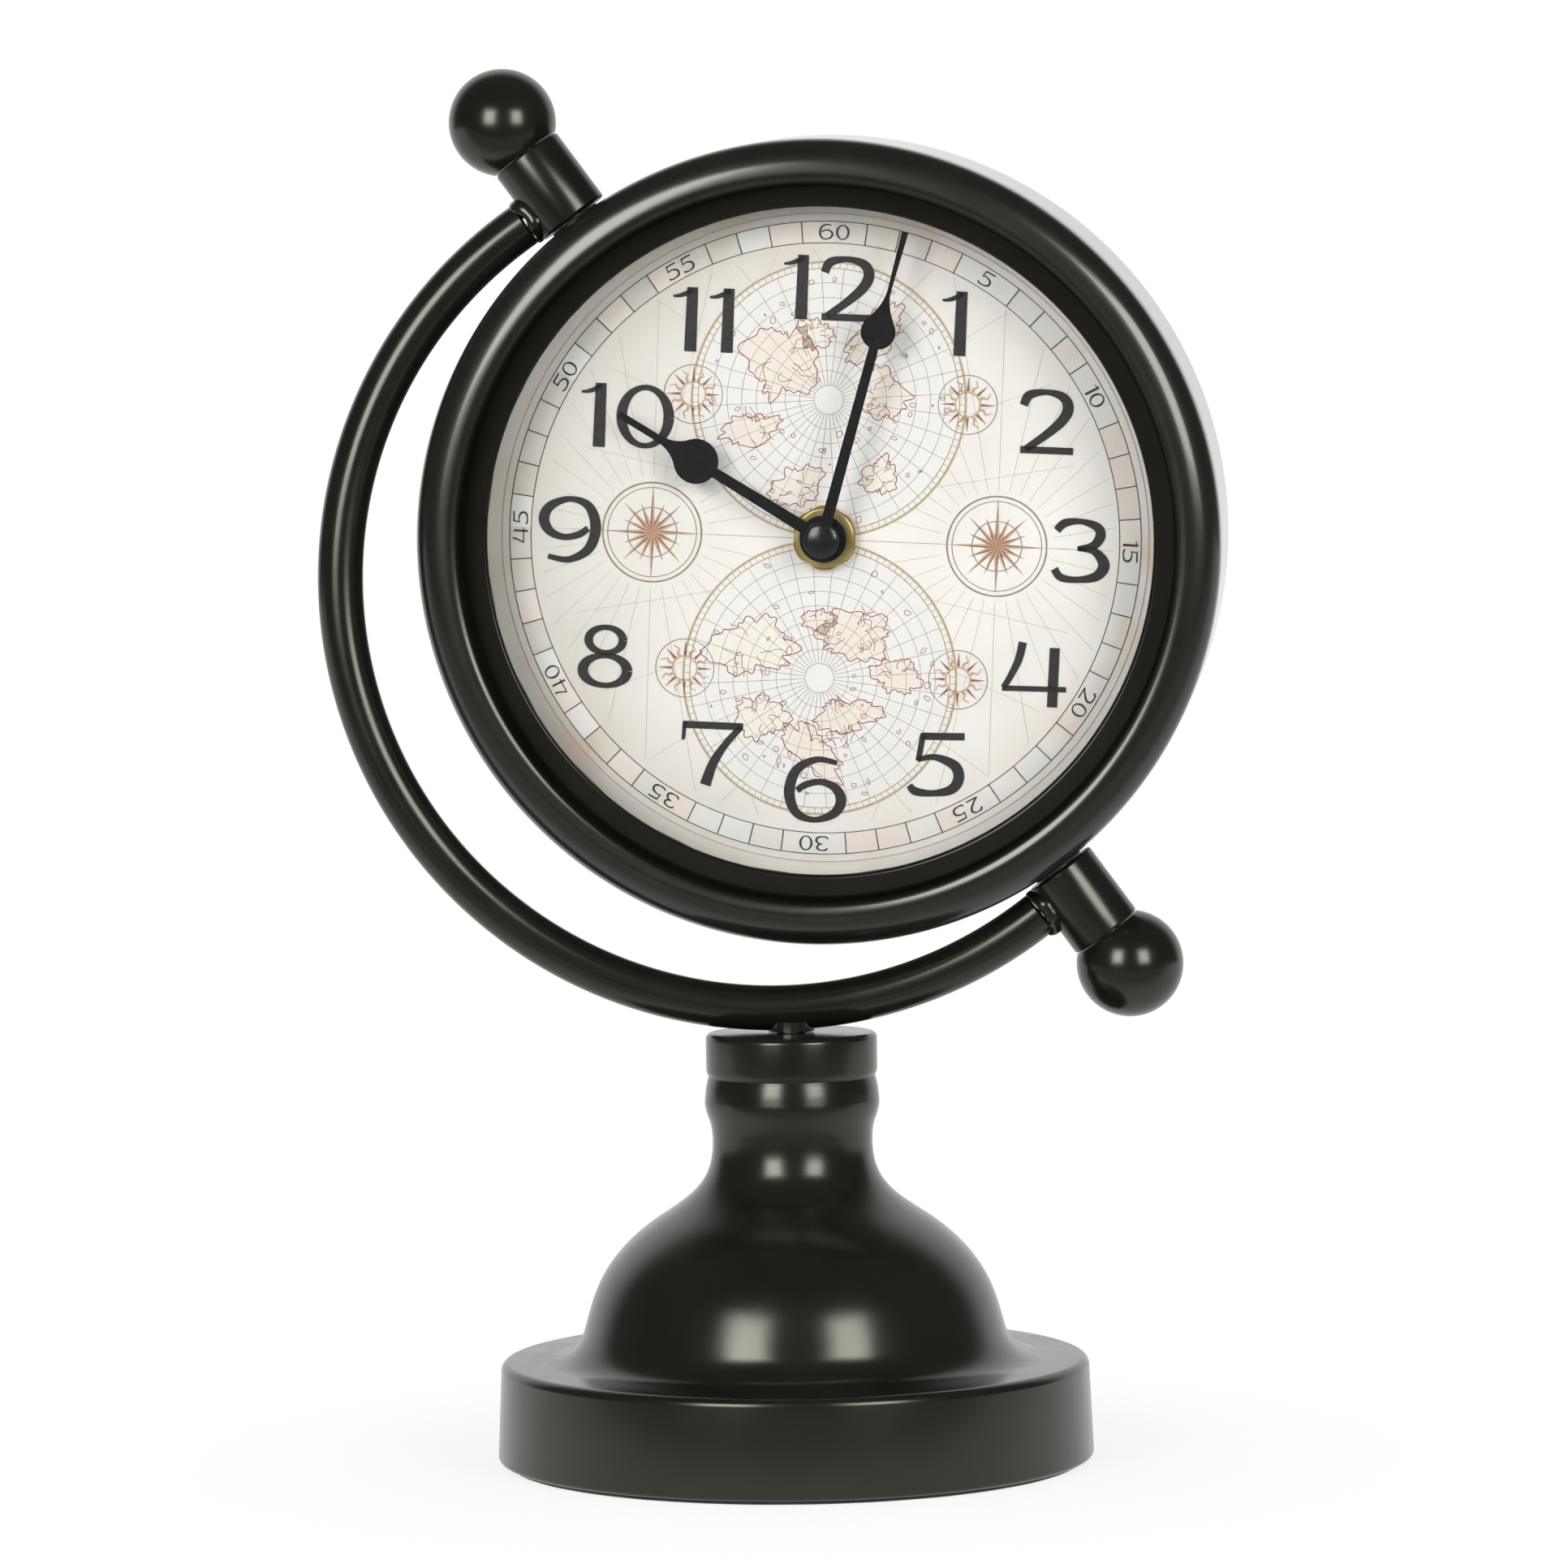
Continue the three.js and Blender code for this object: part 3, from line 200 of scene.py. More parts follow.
# The table glows white where it is seen, and keeps the clock's shadow near the foot
def setFloor():
    mesh = bpy.data.meshes.new("whiteTable")
    mesh.from_pydata(studio["floor"], [], [(0, 1, 2, 3)])
    table = addObject("whiteTable", mesh)
    finish = bpy.data.materials.new("whiteTable")
    finish.use_nodes = True
    tree = finish.node_tree
    tree.nodes.clear()
    ray = node(tree, "LightPath").outputs
    where = coordinates(tree)
    away = fade(tree, vectorMath(tree, "LENGTH", where), *studio["floorGlow"])
    seen = math2(tree, "MAXIMUM", ray["Is Camera Ray"], ray["Is Glossy Ray"])
    seen = math2(tree, "MAXIMUM", seen, ray["Is Transmission Ray"])
    gloss = fade(tree, depthOf(tree, where), *studio["floorGloss"])
    dimmed = math2(tree, "MULTIPLY", ray["Is Glossy Ray"], math2(tree, "SUBTRACT", 1, gloss))
    matt = node(tree, "BsdfDiffuse", Color=studio["floorShade"])
    glow = node(tree, "Emission", Color=(1, 1, 1, 1))
    tree.links.new(math2(tree, "SUBTRACT", 1, dimmed), glow.inputs["Strength"])
    mix = node(tree, "MixShader")
    tree.links.new(math2(tree, "MULTIPLY", seen, away), mix.inputs[0])
    tree.links.new(matt.outputs[0], mix.inputs[1])
    tree.links.new(glow.outputs[0], mix.inputs[2])
    out = node(tree, "OutputMaterial")
    tree.links.new(mix.outputs[0], out.inputs[0])
    mesh.materials.append(finish)


bpy.context.scene.view_settings.view_transform = "Standard"
setCamera(photoView)
setWorld()
setFloor()
for side, (spot, share) in studio["boxes"].items():
    addSoftBox(side, spot, share)
print("camera and studio set")


def linkNoise(tree, scale, detail, stretch=(1, 1, 1)):
    mapping = node(tree, "Mapping")
    mapping.inputs["Scale"].default_value = stretch
    noise = node(tree, "TexNoise", Scale=scale, Detail=detail)
    tree.links.new(coordinates(tree), mapping.inputs["Vector"])
    tree.links.new(mapping.outputs[0], noise.inputs["Vector"])
    return noise.outputs["Fac"]


def linkRamp(tree, factor, dark, light):
    ramp = node(tree, "ValToRGB")
    for element, spot, shade in zip(ramp.color_ramp.elements, (0.3, 0.7), (dark, light)):
        element.position = spot
        element.color = (*shade, 1)
    tree.links.new(factor, ramp.inputs[0])
    return ramp.outputs[0]


def blend(tree, share, first, shade):
    made = node(tree, "Mix")
    made.data_type = "RGBA"
    made.inputs[7].default_value = (*shade, 1)
    tree.links.new(share, made.inputs[0])
    tree.links.new(first, made.inputs[6])
    return made.outputs[2]


# A finish with mottled colour, uneven gloss and perhaps a fine relief, as grain's scale and strength
def makeFinish(name, dark, light, rough, mottle, grain=None, stretch=(1, 1, 1), metal=0, ior=1.5, sheen=0,
               alpha=1, tint=(1, 1, 1), coat=0, coatRough=0.2):
    finish = bpy.data.materials.new(name)
    finish.use_nodes = True
    tree = finish.node_tree
    shader = tree.nodes["Principled BSDF"]
    settings = {"Metallic": metal, "IOR": ior, "Sheen Weight": sheen, "Alpha": alpha,
                "Specular Tint": (*tint, 1), "Coat Weight": coat, "Coat Roughness": coatRough}
    for socket, value in settings.items():
        shader.inputs[socket].default_value = value
    colour = linkRamp(tree, linkNoise(tree, mottle, 4, stretch), dark, light)
    tree.links.new(colour, shader.inputs["Base Color"])
    gloss = fade(tree, linkNoise(tree, mottle * 1.7, 3, stretch), 0.3, 0.7, *rough, soft=False)
    tree.links.new(gloss, shader.inputs["Roughness"])
    if grain:
        bump = node(tree, "Bump", Strength=grain[1], Distance=0.0001)
        tree.links.new(linkNoise(tree, grain[0], 2, stretch), bump.inputs["Height"])
        tree.links.new(bump.outputs[0], shader.inputs["Normal"])
    return finish


blackPaint = makeFinish(
    "satinBlackPaint", dark=(0.0046, 0.0046, 0.0032), light=(0.0072, 0.0072, 0.0053), rough=(0.19, 0.24),
    mottle=60, grain=(700, 0.06), tint=(1, 1, 0.86),
)
bezelPaint = makeFinish(
    "bezelPaint", dark=(0.0046, 0.0046, 0.0032), light=(0.0066, 0.0066, 0.0048), rough=(0.3, 0.36),
    mottle=60, ior=1.36, tint=(1, 1, 0.86), coat=0.8, coatRough=0.14,
)
ringGloss = {
    "ring": 0.35, "ringFade": (0.074, 0.0743), "beadFade": (0.0749, 0.0757), "specular": 0.5, "coat": 0.8,
}


# The paint is thinner and less glossy on the sunk ring, and matt in the corner behind the bead
def mattCorner(finish, g):
    tree = finish.node_tree
    shader = tree.nodes["Principled BSDF"]
    offset = vectorMath(tree, "SUBTRACT", coordinates(tree), casePlace.to_translation() * mm)
    across = vectorMath(tree, "CROSS_PRODUCT", offset, casePlace.to_3x3() @ Vector((0, 1, 0)))
    reach = vectorMath(tree, "LENGTH", across)
    ring = fade(tree, reach, *g["ringFade"], g["ring"], 0)
    gloss = math2(tree, "MAXIMUM", ring, fade(tree, reach, *g["beadFade"]))
    tree.links.new(math2(tree, "MULTIPLY", gloss, g["specular"]), shader.inputs["Specular IOR Level"])
    tree.links.new(math2(tree, "MULTIPLY", gloss, g["coat"]), shader.inputs["Coat Weight"])


mattCorner(bezelPaint, ringGloss)
drumPaint = makeFinish(
    "drumPaint", dark=(0.0046, 0.0046, 0.0036), light=(0.0072, 0.0072, 0.0055), rough=(0.07, 0.1),
    mottle=60, ior=1.6,
)
handLacquer = makeFinish(
    "handLacquer", dark=(0.003, 0.003, 0.0024), light=(0.005, 0.005, 0.004), rough=(0.26, 0.32), mottle=300,
    grain=(2500, 0.06), ior=1.32,
)
capLacquer = makeFinish(
    "capLacquer", dark=(0.008, 0.008, 0.007), light=(0.014, 0.014, 0.012), rough=(0.16, 0.2), mottle=300,
)
turnedBrass = makeFinish(
    "turnedBrass", dark=(0.6, 0.43, 0.15), light=(0.78, 0.6, 0.26), rough=(0.18, 0.26), mottle=220,
    grain=(1600, 0.1), metal=0.7,
)
zincSteel = makeFinish(
    "zincSteel", dark=(0.42, 0.43, 0.44), light=(0.62, 0.63, 0.65), rough=(0.28, 0.42), mottle=180,
    grain=(1200, 0.1), metal=1,
)
movementPlastic = makeFinish(
    "movementPlastic", dark=(0.011, 0.011, 0.012), light=(0.018, 0.018, 0.02), rough=(0.42, 0.52),
    mottle=150, grain=(1800, 0.35),
)
wheelPlastic = makeFinish(
    "wheelPlastic", dark=(0.72, 0.7, 0.65), light=(0.8, 0.79, 0.75), rough=(0.35, 0.45), mottle=120,
)
gasketRubber = makeFinish(
    "gasketRubber", dark=(0.014, 0.014, 0.014), light=(0.024, 0.024, 0.024), rough=(0.75, 0.9), mottle=200,
)
pressedFibre = makeFinish(
    "pressedFibre", dark=(0.035, 0.02, 0.013), light=(0.07, 0.045, 0.03), rough=(0.8, 0.95), mottle=900,
)
copperWinding = makeFinish(
    "copperWinding", dark=(0.36, 0.1, 0.03), light=(0.55, 0.2, 0.08), rough=(0.3, 0.4), mottle=60,
    stretch=(60, 1, 1), metal=1,
)
boardLacquer = makeFinish(
    "boardLacquer", dark=(0.02, 0.11, 0.035), light=(0.04, 0.17, 0.06), rough=(0.3, 0.4), mottle=300,
)
cellSleeve = makeFinish(
    "cellSleeve", dark=(0.018, 0.02, 0.026), light=(0.03, 0.033, 0.04), rough=(0.25, 0.35), mottle=200,
)
cellBand = makeFinish(
    "cellBand", dark=(0.5, 0.27, 0.1), light=(0.62, 0.36, 0.15), rough=(0.25, 0.35), mottle=200, metal=0.8,
)
footFelt = makeFinish(
    "footFelt", dark=(0.008, 0.009, 0.008), light=(0.03, 0.034, 0.03), rough=(0.92, 1), mottle=1500,
    grain=(2600, 0.9), sheen=0.4,
)
spacerPlastic = makeFinish(
    "spacerPlastic", dark=(0.012, 0.012, 0.011), light=(0.02, 0.02, 0.018), rough=(0.5, 0.6), mottle=150,
)
clearGlass = makeFinish(
    "clearGlass", dark=(0.02, 0.03, 0.03), light=(0.03, 0.04, 0.04), rough=(0.02, 0.05), mottle=40,
    alpha=0.07,
)
paperAge = {
    "blotScale": 55, "blotFade": (0.5, 0.72), "blot": (0.76, 0.61, 0.46), "rimFade": (0.054, 0.0705),
    # The last three entries paint shade on the paper: the shade colour, the offset of its lit point from
    # the middle, and how it fades in
    "paintedShade": (0.5, 0.475, 0.4), "shadeOffset": (0.02, 0, -0.008), "shadeFade": (0.045, 0.09, 0, 0.5),
}


# Cream paper that has yellowed in blots towards the rim, with painted shade darkening it towards one side
def makePaper(centre, p):
    finish = makeFinish("agedPaper", dark=(0.77, 0.75, 0.69), light=(0.84, 0.82, 0.765), rough=(0.6, 0.72),
                        mottle=45, grain=(3000, 0.1))
    tree = finish.node_tree
    base = tree.nodes["Principled BSDF"].inputs["Base Color"]
    plain = base.links[0].from_socket
    where = coordinates(tree)
    rim = fade(tree, vectorMath(tree, "DISTANCE", where, centre), *p["rimFade"])
    blots = fade(tree, linkNoise(tree, p["blotScale"], 5), *p["blotFade"], soft=False)
    aged = blend(tree, math2(tree, "MULTIPLY", rim, blots), plain, p["blot"])
    # Painted shade: the paper darkens with distance from a point right of and below the middle, so its left
    # side looks shaded
    away = vectorMath(tree, "DISTANCE", where, centre + Vector(p["shadeOffset"]))
    tree.links.new(blend(tree, fade(tree, away, *p["shadeFade"]), aged, p["paintedShade"]), base)
    return finish


# A printing ink, slightly mottled where the paper shows through
def makeInk(name, shade, wear, paper=0.8):
    worn = tuple(part + (paper - part) * wear for part in shade)
    return makeFinish(name, dark=shade, light=worn, rough=(0.55, 0.7), mottle=900)


print("finishes made")


# Makes a piece from points in millimetres; edges sharper than crease degrees stay sharp
def makePiece(name, shape, finish, body, replaced=None, place=upright, crease=38, outward=True):
    points, faces = shape
    mesh = bpy.data.meshes.new(name)
    mesh.from_pydata([(place @ Vector(p)) * mm for p in points], [], faces)
    mesh.materials.append(finish)
    sheet = bmesh.new()
    sheet.from_mesh(mesh)
    if outward:
        bmesh.ops.recalc_face_normals(sheet, faces=sheet.faces)
    for face in sheet.faces:
        face.smooth = True
    limit = math.radians(crease)
    for edge in sheet.edges:
        if len(edge.link_faces) == 2:
            edge.smooth = edge.calc_face_angle(0) < limit
    sheet.to_mesh(mesh)
    sheet.free()
    piece = addObject(name, mesh)
    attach(piece, body)
    if replaced:
        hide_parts(replaced)
    return piece


def merged(*shapes):
    points, faces = [], []
    for more, moreFaces in shapes:
        base = len(points)
        points.extend(more)
        faces.extend(tuple(base + i for i in face) for face in moreFaces)
    return points, faces


def moved(shape, matrix):
    return [tuple(matrix @ Vector(p)) for p in shape[0]], shape[1]


# Rounds the corners of a profile whose points may carry a radius: (radius, depth, rounding)
def rounded(outline, steps=5):
    result = []
    count = len(outline)
    for i, point in enumerate(outline):
        corner = Vector(point[:2])
        if len(point) < 3:
            result.append(tuple(corner))
            continue
        before = (Vector(outline[i - 1][:2]) - corner).normalized()
        after = (Vector(outline[(i + 1) % count][:2]) - corner).normalized()
        half = before.angle(after) / 2
        reach = point[2] / math.tan(half)
        centre = corner + (before + after).normalized() * (point[2] / math.sin(half))
        first, last = corner + before * reach - centre, corner + after * reach - centre
        for k in range(steps + 1):
            result.append(tuple(centre + first.slerp(last, k / steps) * point[2]))
    return result


def arcPoints(x, y, width, height, start, end, steps):
    spots = []
    for k in range(steps + 1):
        angle = math.radians(start + (end - start) * k / steps)
        spots.append((x + width * math.cos(angle), y + height * math.sin(angle)))
    return spots


def bezier(first, handle, otherHandle, last, steps):
    spots = []
    for k in range(1, steps + 1):
        t = k / steps
        shares = ((1 - t) ** 3, 3 * t * (1 - t) ** 2, 3 * t * t * (1 - t), t ** 3)
        spots.append(tuple(
            sum(share * p[axis] for share, p in zip(shares, (first, handle, otherHandle, last)))
            for axis in (0, 1)
        ))
    return spots


# A curve through all the points, with more points between them
def smoothed(points, steps=5):
    result = []
    last = len(points) - 1
    for i in range(last):
        p0, p1 = Vector(points[max(i - 1, 0)]), Vector(points[i])
        p2, p3 = Vector(points[i + 1]), Vector(points[min(i + 2, last)])
        for k in range(steps):
            t = k / steps
            result.append(tuple(
                0.5 * (2 * p1 + (p2 - p0) * t + (2 * p0 - 5 * p1 + 4 * p2 - p3) * t * t
                       + (3 * p1 - p0 - 3 * p2 + p3) * t * t * t)
            ))
    result.append(tuple(points[last]))
    return result


# Faces between neighbouring rows of point numbers; closed joins the last row to the first
def joinRows(rows, closed=True):
    faces = []
    for i in range(len(rows) if closed else len(rows) - 1):
        row, other = rows[i], rows[(i + 1) % len(rows)]
        for k in range(len(row)):
            k2 = (k + 1) % len(row)
            corners = dict.fromkeys((row[k], other[k], other[k2], row[k2]))
            if len(corners) > 2:
                faces.append(tuple(corners))
    return faces


def evenRows(count, size):
    return [range(i * size, (i + 1) * size) for i in range(count)]


# Turns a profile of (radius, depth) about Y; wobble may change the radius with the angle
def turned(outline, count=192, wobble=None):
    points, rows = [], []
    for radius, depth in outline:
        if radius < 1e-6:
            rows.append([len(points)] * count)
            points.append((0, depth, 0))
            continue
        rows.append(range(len(points), len(points) + count))
        for k in range(count):
            angle = 2 * math.pi * k / count
            r = wobble(radius, angle) if wobble else radius
            points.append((r * math.cos(angle), depth, r * math.sin(angle)))
    return points, joinRows(rows)


# A flat plate with softened edges, from its outline seen from the front
def plateShape(outline, front, back, edge=0.06):
    count = len(outline)
    inner = []
    for i in range(count):
        before, here, after = Vector(outline[i - 1]), Vector(outline[i]), Vector(outline[(i + 1) % count])
        along = (after - before).normalized()
        inner.append(here + Vector((-along.y, along.x)) * edge)
    area = sum(a[0] * b[1] - b[0] * a[1] for a, b in zip(outline, outline[1:] + outline[:1]))
    if area < 0:
        inner = [Vector(p) * 2 - q for p, q in zip(outline, inner)]
    layers = ((inner, front), (outline, front + edge), (outline, back - edge), (inner, back))
    points = [(p[0], depth, p[1]) for ring, depth in layers for p in ring]
    rows = evenRows(4, count)
    return points, [tuple(rows[0]), tuple(rows[3]), *joinRows(rows, False)]


def showNode(name, finish, bevel=0):
    nodes[name].data.materials.clear()
    nodes[name].data.materials.append(finish)
    if bevel:
        softener = nodes[name].modifiers.new("softEdges", "BEVEL")
        softener.width = bevel * mm
        softener.segments = 2
        softener.limit_method = "ANGLE"
        softener.angle_limit = math.radians(40)


turnedFoot = {
    "top": 90.4, "topRound": 1.2, "rodHole": 3.3, "column": 18, "neck": (16.8, 67.8),
    "shoulder": (27.6, 52.1), "shoulderSlope": 33, "dome": (44.1, 28.7), "domeSlope": 75,
    "filletEnd": (52.8, 21.7), "flangeRadius": 61.9, "flangeRound": 1.8,
    "foot": 62.7, "footHeight": 0.9, "footRound": 1,
    "grooveAndBead": [
        (18, 83.1), (17.9, 82.2), (17.55, 81.3), (17.78, 80.4), (18.1, 78.7), (18.28, 77), (18.35, 75.9),
        (18.29, 74.9), (17.95, 73.5), (17.3, 71.6), (16.94, 69.9),
    ],
    "hollow": [
        (61.5, 0.9), (61.5, 4.2), (59.4, 4.2), (59.4, 19.2), (51.8, 19.2), (41.7, 27.9), (26.1, 50.1),
        (14.3, 62.8), (14.3, 85.4), (3.3, 85.4),
    ],
}


# The outer skin from the column down to the foot, then the hollow underneath; the curves'
# handles reach shares of the fall from shoulder to dome
def footProfile(f):
    def along(point, degrees, reach):
        x, y = polar(reach, degrees)
        return point[0] + x, point[1] - y

    neck, shoulder, dome, end = f["neck"], f["shoulder"], f["dome"], f["filletEnd"]
    fall = shoulder[1] - dome[1]
    reach = 0.55 * (end[0] - dome[0])
    topRound, edgeRound, footRound = f["topRound"], f["flangeRound"], f["footRound"]
    return [
        (f["rodHole"], f["top"]),
        *arcPoints(f["column"] - topRound, f["top"] - topRound, topRound, topRound, 90, 0, 8),
        *smoothed([*f["grooveAndBead"], neck], 4),
        *bezier(neck, (neck[0], neck[1] - 0.52 * (neck[1] - shoulder[1])),
                along(shoulder, f["shoulderSlope"], -0.37 * fall), shoulder, 18),
        *bezier(shoulder, along(shoulder, f["shoulderSlope"], 0.64 * fall),
                along(dome, f["domeSlope"], -0.32 * fall), dome, 22),
        *bezier(dome, along(dome, f["domeSlope"], reach), (end[0] - reach, end[1]), end, 16),
        *arcPoints(f["flangeRadius"] - edgeRound, end[1] - edgeRound, edgeRound, edgeRound, 90, 0, 10),
        *arcPoints(f["foot"] - footRound, f["footHeight"] + footRound, footRound, footRound, 0, -90, 6),
        *f["hollow"],
    ]


makePiece("turnedPedestal", moved(turned(footProfile(turnedFoot), 224), standUp), blackPaint, "stand",
          "pedestal")

feltDisc = {"profile": [(0, 0), (60.8, 0, 0.5), (60.8, 2.4, 0.5), (0, 2.4)], "wave": 0.08, "waveFrom": 50}


def feltWave(radius, angle):
    wave = feltDisc["wave"] * (1 + math.sin(angle * 23) * math.sin(angle * 7))
    return radius - wave if radius > feltDisc["waveFrom"] else radius


feltShape = turned(rounded(feltDisc["profile"]), 160, feltWave)
makePiece("feltUnderFoot", moved(feltShape, standUp), footFelt, "stand", "felt_pad")
for name in ("base_plate", "tie_rod_washer", "tie_rod_nut"):
    showNode(name, zincSteel)
showNode("tie_rod", blackPaint)

bentTube = {"radius": 4.75, "bend": 90.1, "offset": 12.3, "endGap": 1.3, "lip": 0.5, "lipReach": 0.35}
sleeveTube = {"radius": 7.8, "profile": [(3.5, 84.9), (7.8, 84.9, 0.6), (7.8, 101.4, 0.5), (3.5, 101.4)]}


def tubeShape(tube, sleeve):
    reach = math.degrees(math.acos((tube["offset"] - sleeve["radius"] - tube["endGap"]) / tube["bend"]))
    count, around = 180, 48
    points = []
    for i in range(-1, count + 2):
        x, z = polar(1, reach + (360 - 2 * reach) * min(max(i, 0), count) / count)
        out = Vector((x, 0, z))
        end = -1 if i < 0 else 1 if i > count else 0
        nudge = Vector((-out.z, 0, out.x)) * (tube["lipReach"] * end)
        for k in range(around):
            u, v = polar(tube["radius"] - tube["lip"] * abs(end), 360 * k / around)
            spot = Vector((-tube["offset"], 0, 0)) + out * (tube["bend"] + u)
            points.append(tuple(spot + Vector((0, v, 0)) + nudge))
    rows = evenRows(count + 3, around)
    return points, [*joinRows(rows, False), tuple(rows[0]), tuple(rows[-1])]


weldBead = {"size": 1.15, "stretch": 1.5, "sunk": 0.35, "bumps": 0.55, "bareInside": 0.55, "seeds": (4, 9)}


# A lumpy bead of weld between the tube's end and a sleeve; side is 1 above and -1 below
def weldShape(w, side, seed):
    random.seed(seed)
    waves = [(random.uniform(0.1, 0.32), random.randint(2, 9), random.uniform(0, 6.3)) for _ in range(6)]
    height = math.sqrt(bentTube["bend"] ** 2 - (bentTube["offset"] - sleeveTube["radius"]) ** 2) * side
    reach = bentTube["radius"] - w["sunk"]
    around, across = 96, 20
    points = []
    for i in range(around):
        turn = 2 * math.pi * i / around
        lump = w["size"] + sum(size * math.sin(n * turn + phase) for size, n, phase in waves) * w["bumps"]
        lump *= 1 - w["bareInside"] * max(0, -math.sin(turn) * side) ** 2
        y = reach * math.cos(turn)
        x = -math.sqrt(sleeveTube["radius"] ** 2 - y * y) - w["sunk"]
        centre = Vector((x, y, height + reach * math.sin(turn)))
        outwards = Vector((0, math.cos(turn), math.sin(turn)))
        for k in range(across):
            angle = 2 * math.pi * k / across
            spot = centre + outwards * lump * math.cos(angle)
            points.append(tuple(spot - Vector((w["stretch"] * lump, 0, 0)) * math.sin(angle)))
    return points, joinRows(evenRows(around, across))


sleeveShape = moved(turned(rounded(sleeveTube["profile"]), 96), standUp)
flip = turnAbout("X", 180)
for name, shape, replaced in (
    ("bentTubeArm", tubeShape(bentTube, sleeveTube), "arm_tube"),
    ("upperWeld", weldShape(weldBead, 1, weldBead["seeds"][0]), None),
    ("lowerWeld", weldShape(weldBead, -1, weldBead["seeds"][1]), None),
    ("upperSleeveTube", sleeveShape, "upper_sleeve"),
    ("lowerSleeveTube", moved(sleeveShape, flip), "lower_sleeve"),
):
    makePiece(name, shape, blackPaint, "stand", replaced, axlePlace)
print("stand made")

rolledBezel = {
    "opening": 69.8, "lipRound": 0.9, "openingDepth": -6.5, "lipBack": -5.5,
    "ringEnd": 74.6, "ringRound": 0.15, "crown": 77.2, "crownArc": 4, "crownLean": 38,
    "roof": 8, "roofLean": 26, "top": -15.4, "widest": (84, -10),
    "back": [
        (84, -9.6), (84, -8.6), (84, -8, 0.25), (82.7, -8), (82.7, 7), (81.9, 7), (81.9, -10),
        (77.8, -14.4), (77.4, -8.5), (77.4, 13.1), (75.4, 13.1), (75.4, 12.2), (76.5, 12.2), (76.5, -5.5),
    ],
}


# The ring round the dial sweeps up into the rolled bead, whose crown lies inside its middle
def bezelProfile(b):
    ring, widest = b["openingDepth"], b["widest"]
    front = rounded([
        (b["opening"], b["lipBack"]), (b["opening"], ring, b["lipRound"]),
        (b["ringEnd"], ring, b["ringRound"]), (b["ringEnd"], ring - 1),
    ])
    lean, fall = math.radians(b["crownLean"]), math.radians(b["roofLean"])
    start = (b["crown"] - b["crownArc"] * math.sin(lean), b["top"] + b["crownArc"] * (1 - math.cos(lean)))
    crown = arcPoints(b["crown"], b["top"] + b["crownArc"], b["crownArc"], b["crownArc"],
                      270 - b["crownLean"], 270, 12)
    roof = arcPoints(b["crown"], b["top"] + b["roof"], b["roof"], b["roof"], 270, 270 + b["roofLean"], 10)
    drop = (roof[-1][0] + 1.3 * math.cos(fall), roof[-1][1] + 1.3 * math.sin(fall))
    return [
        *front,
        *bezier(front[-1], (b["ringEnd"], start[1] + 2), (start[0] - 0.35, start[1] + 0.5), start, 12),
        *crown[1:],
        *roof[1:],
        *bezier(roof[-1], drop, (widest[0], widest[1] - 2.3), widest, 24),
        *rounded(b["back"], 3),
    ]


makePiece("rolledBezel", turned(bezelProfile(rolledBezel), 256), bezelPaint, "case", "bezel",
          casePlace)

drum = {
    "side": [(84, -7.7, 0.25), (84, -6.9), (84, 24.2)],
    "rim": (82.2, 25, 1.8, 5),
    "back": [(82, 30), (82, 27.5), (75.4, 27.5), (75.4, 26.5), (83, 26.5), (83, -7.7)],
}
drumShape = turned(rounded([*drum["side"], *arcPoints(*drum["rim"], 0, 90, 10), *drum["back"]]), 256)
makePiece("deepDrawnDrum", drumShape, drumPaint, "case", "drum_shell", casePlace)
spacer = {"profile": [(73.6, -1.8, 0.3), (76.2, -1.8, 0.3), (76.2, 8.7, 0.3), (73.6, 8.7, 0.3)]}
makePiece("dialSpacer", turned(rounded(spacer["profile"], 3), 192), spacerPlastic, "case",
          "spacer_ring", casePlace)
showNode("glass", clearGlass)
showNode("glass_gasket", gasketRubber)
showNode("retaining_wire", zincSteel)

backDisc = {
    "radius": 81.7, "front": 27.8, "back": 28.8, "window": 60, "corner": 3, "screwCircle": 79.2,
    "step": 64, "stepDepth": 0.5, "soft": 0.3,
}


# The cover is laid out in polar rings that end on the window's outline
def backDiscShape(b):
    count = 240
    angles = [2 * math.pi * k / count for k in range(count)]
    lean = math.radians(standing["dialTurn"])
    points = []

    def windowReach(angle, grow):
        x, z = abs(math.cos(angle - lean)), abs(math.sin(angle - lean))
        edge = b["window"] / 2 + grow
        low, high = 0, 60
        for _ in range(40):
            middle = (low + high) / 2
            px, pz = middle * x, middle * z
            dx, dz = px - edge + b["corner"], pz - edge + b["corner"]
            inside = px <= edge and pz <= edge
            if inside and dx > 0 and dz > 0:
                inside = dx * dx + dz * dz <= b["corner"] ** 2
            low, high = (middle, high) if inside else (low, middle)
        return low

    window = [[windowReach(angle, grow) for angle in angles] for grow in (0, b["soft"])]
    low = b["back"] - b["stepDepth"]
    layers = (
        (window[0], b["front"]), (window[0], b["back"] - b["soft"]), (window[1], b["back"]),
        ([b["step"] - 1] * count, b["back"]), ([b["step"]] * count, low),
        ([b["radius"] - b["soft"]] * count, low), ([b["radius"]] * count, low - 0.2),
        ([b["radius"]] * count, b["front"]),
    )
    for radii, depth in layers:
        points.extend((r * math.cos(angle), depth, r * math.sin(angle)) for r, angle in zip(radii, angles))
    return points, joinRows(evenRows(len(layers), count))


makePiece("backDisc", backDiscShape(backDisc), blackPaint, "case", "back_cover", casePlace)

panScrew = {
    "profile": [(0, 23.1), (1.4, 23.9), (1.4, 29.1), (2.5, 29.1, 0.1), (2.5, 30, 0.45), (0, 30)],
    "top": 30, "slot": 0.5, "slotDepth": 0.5, "slotReach": 1.6, "firstTurn": 17, "moreTurn": 31,
}


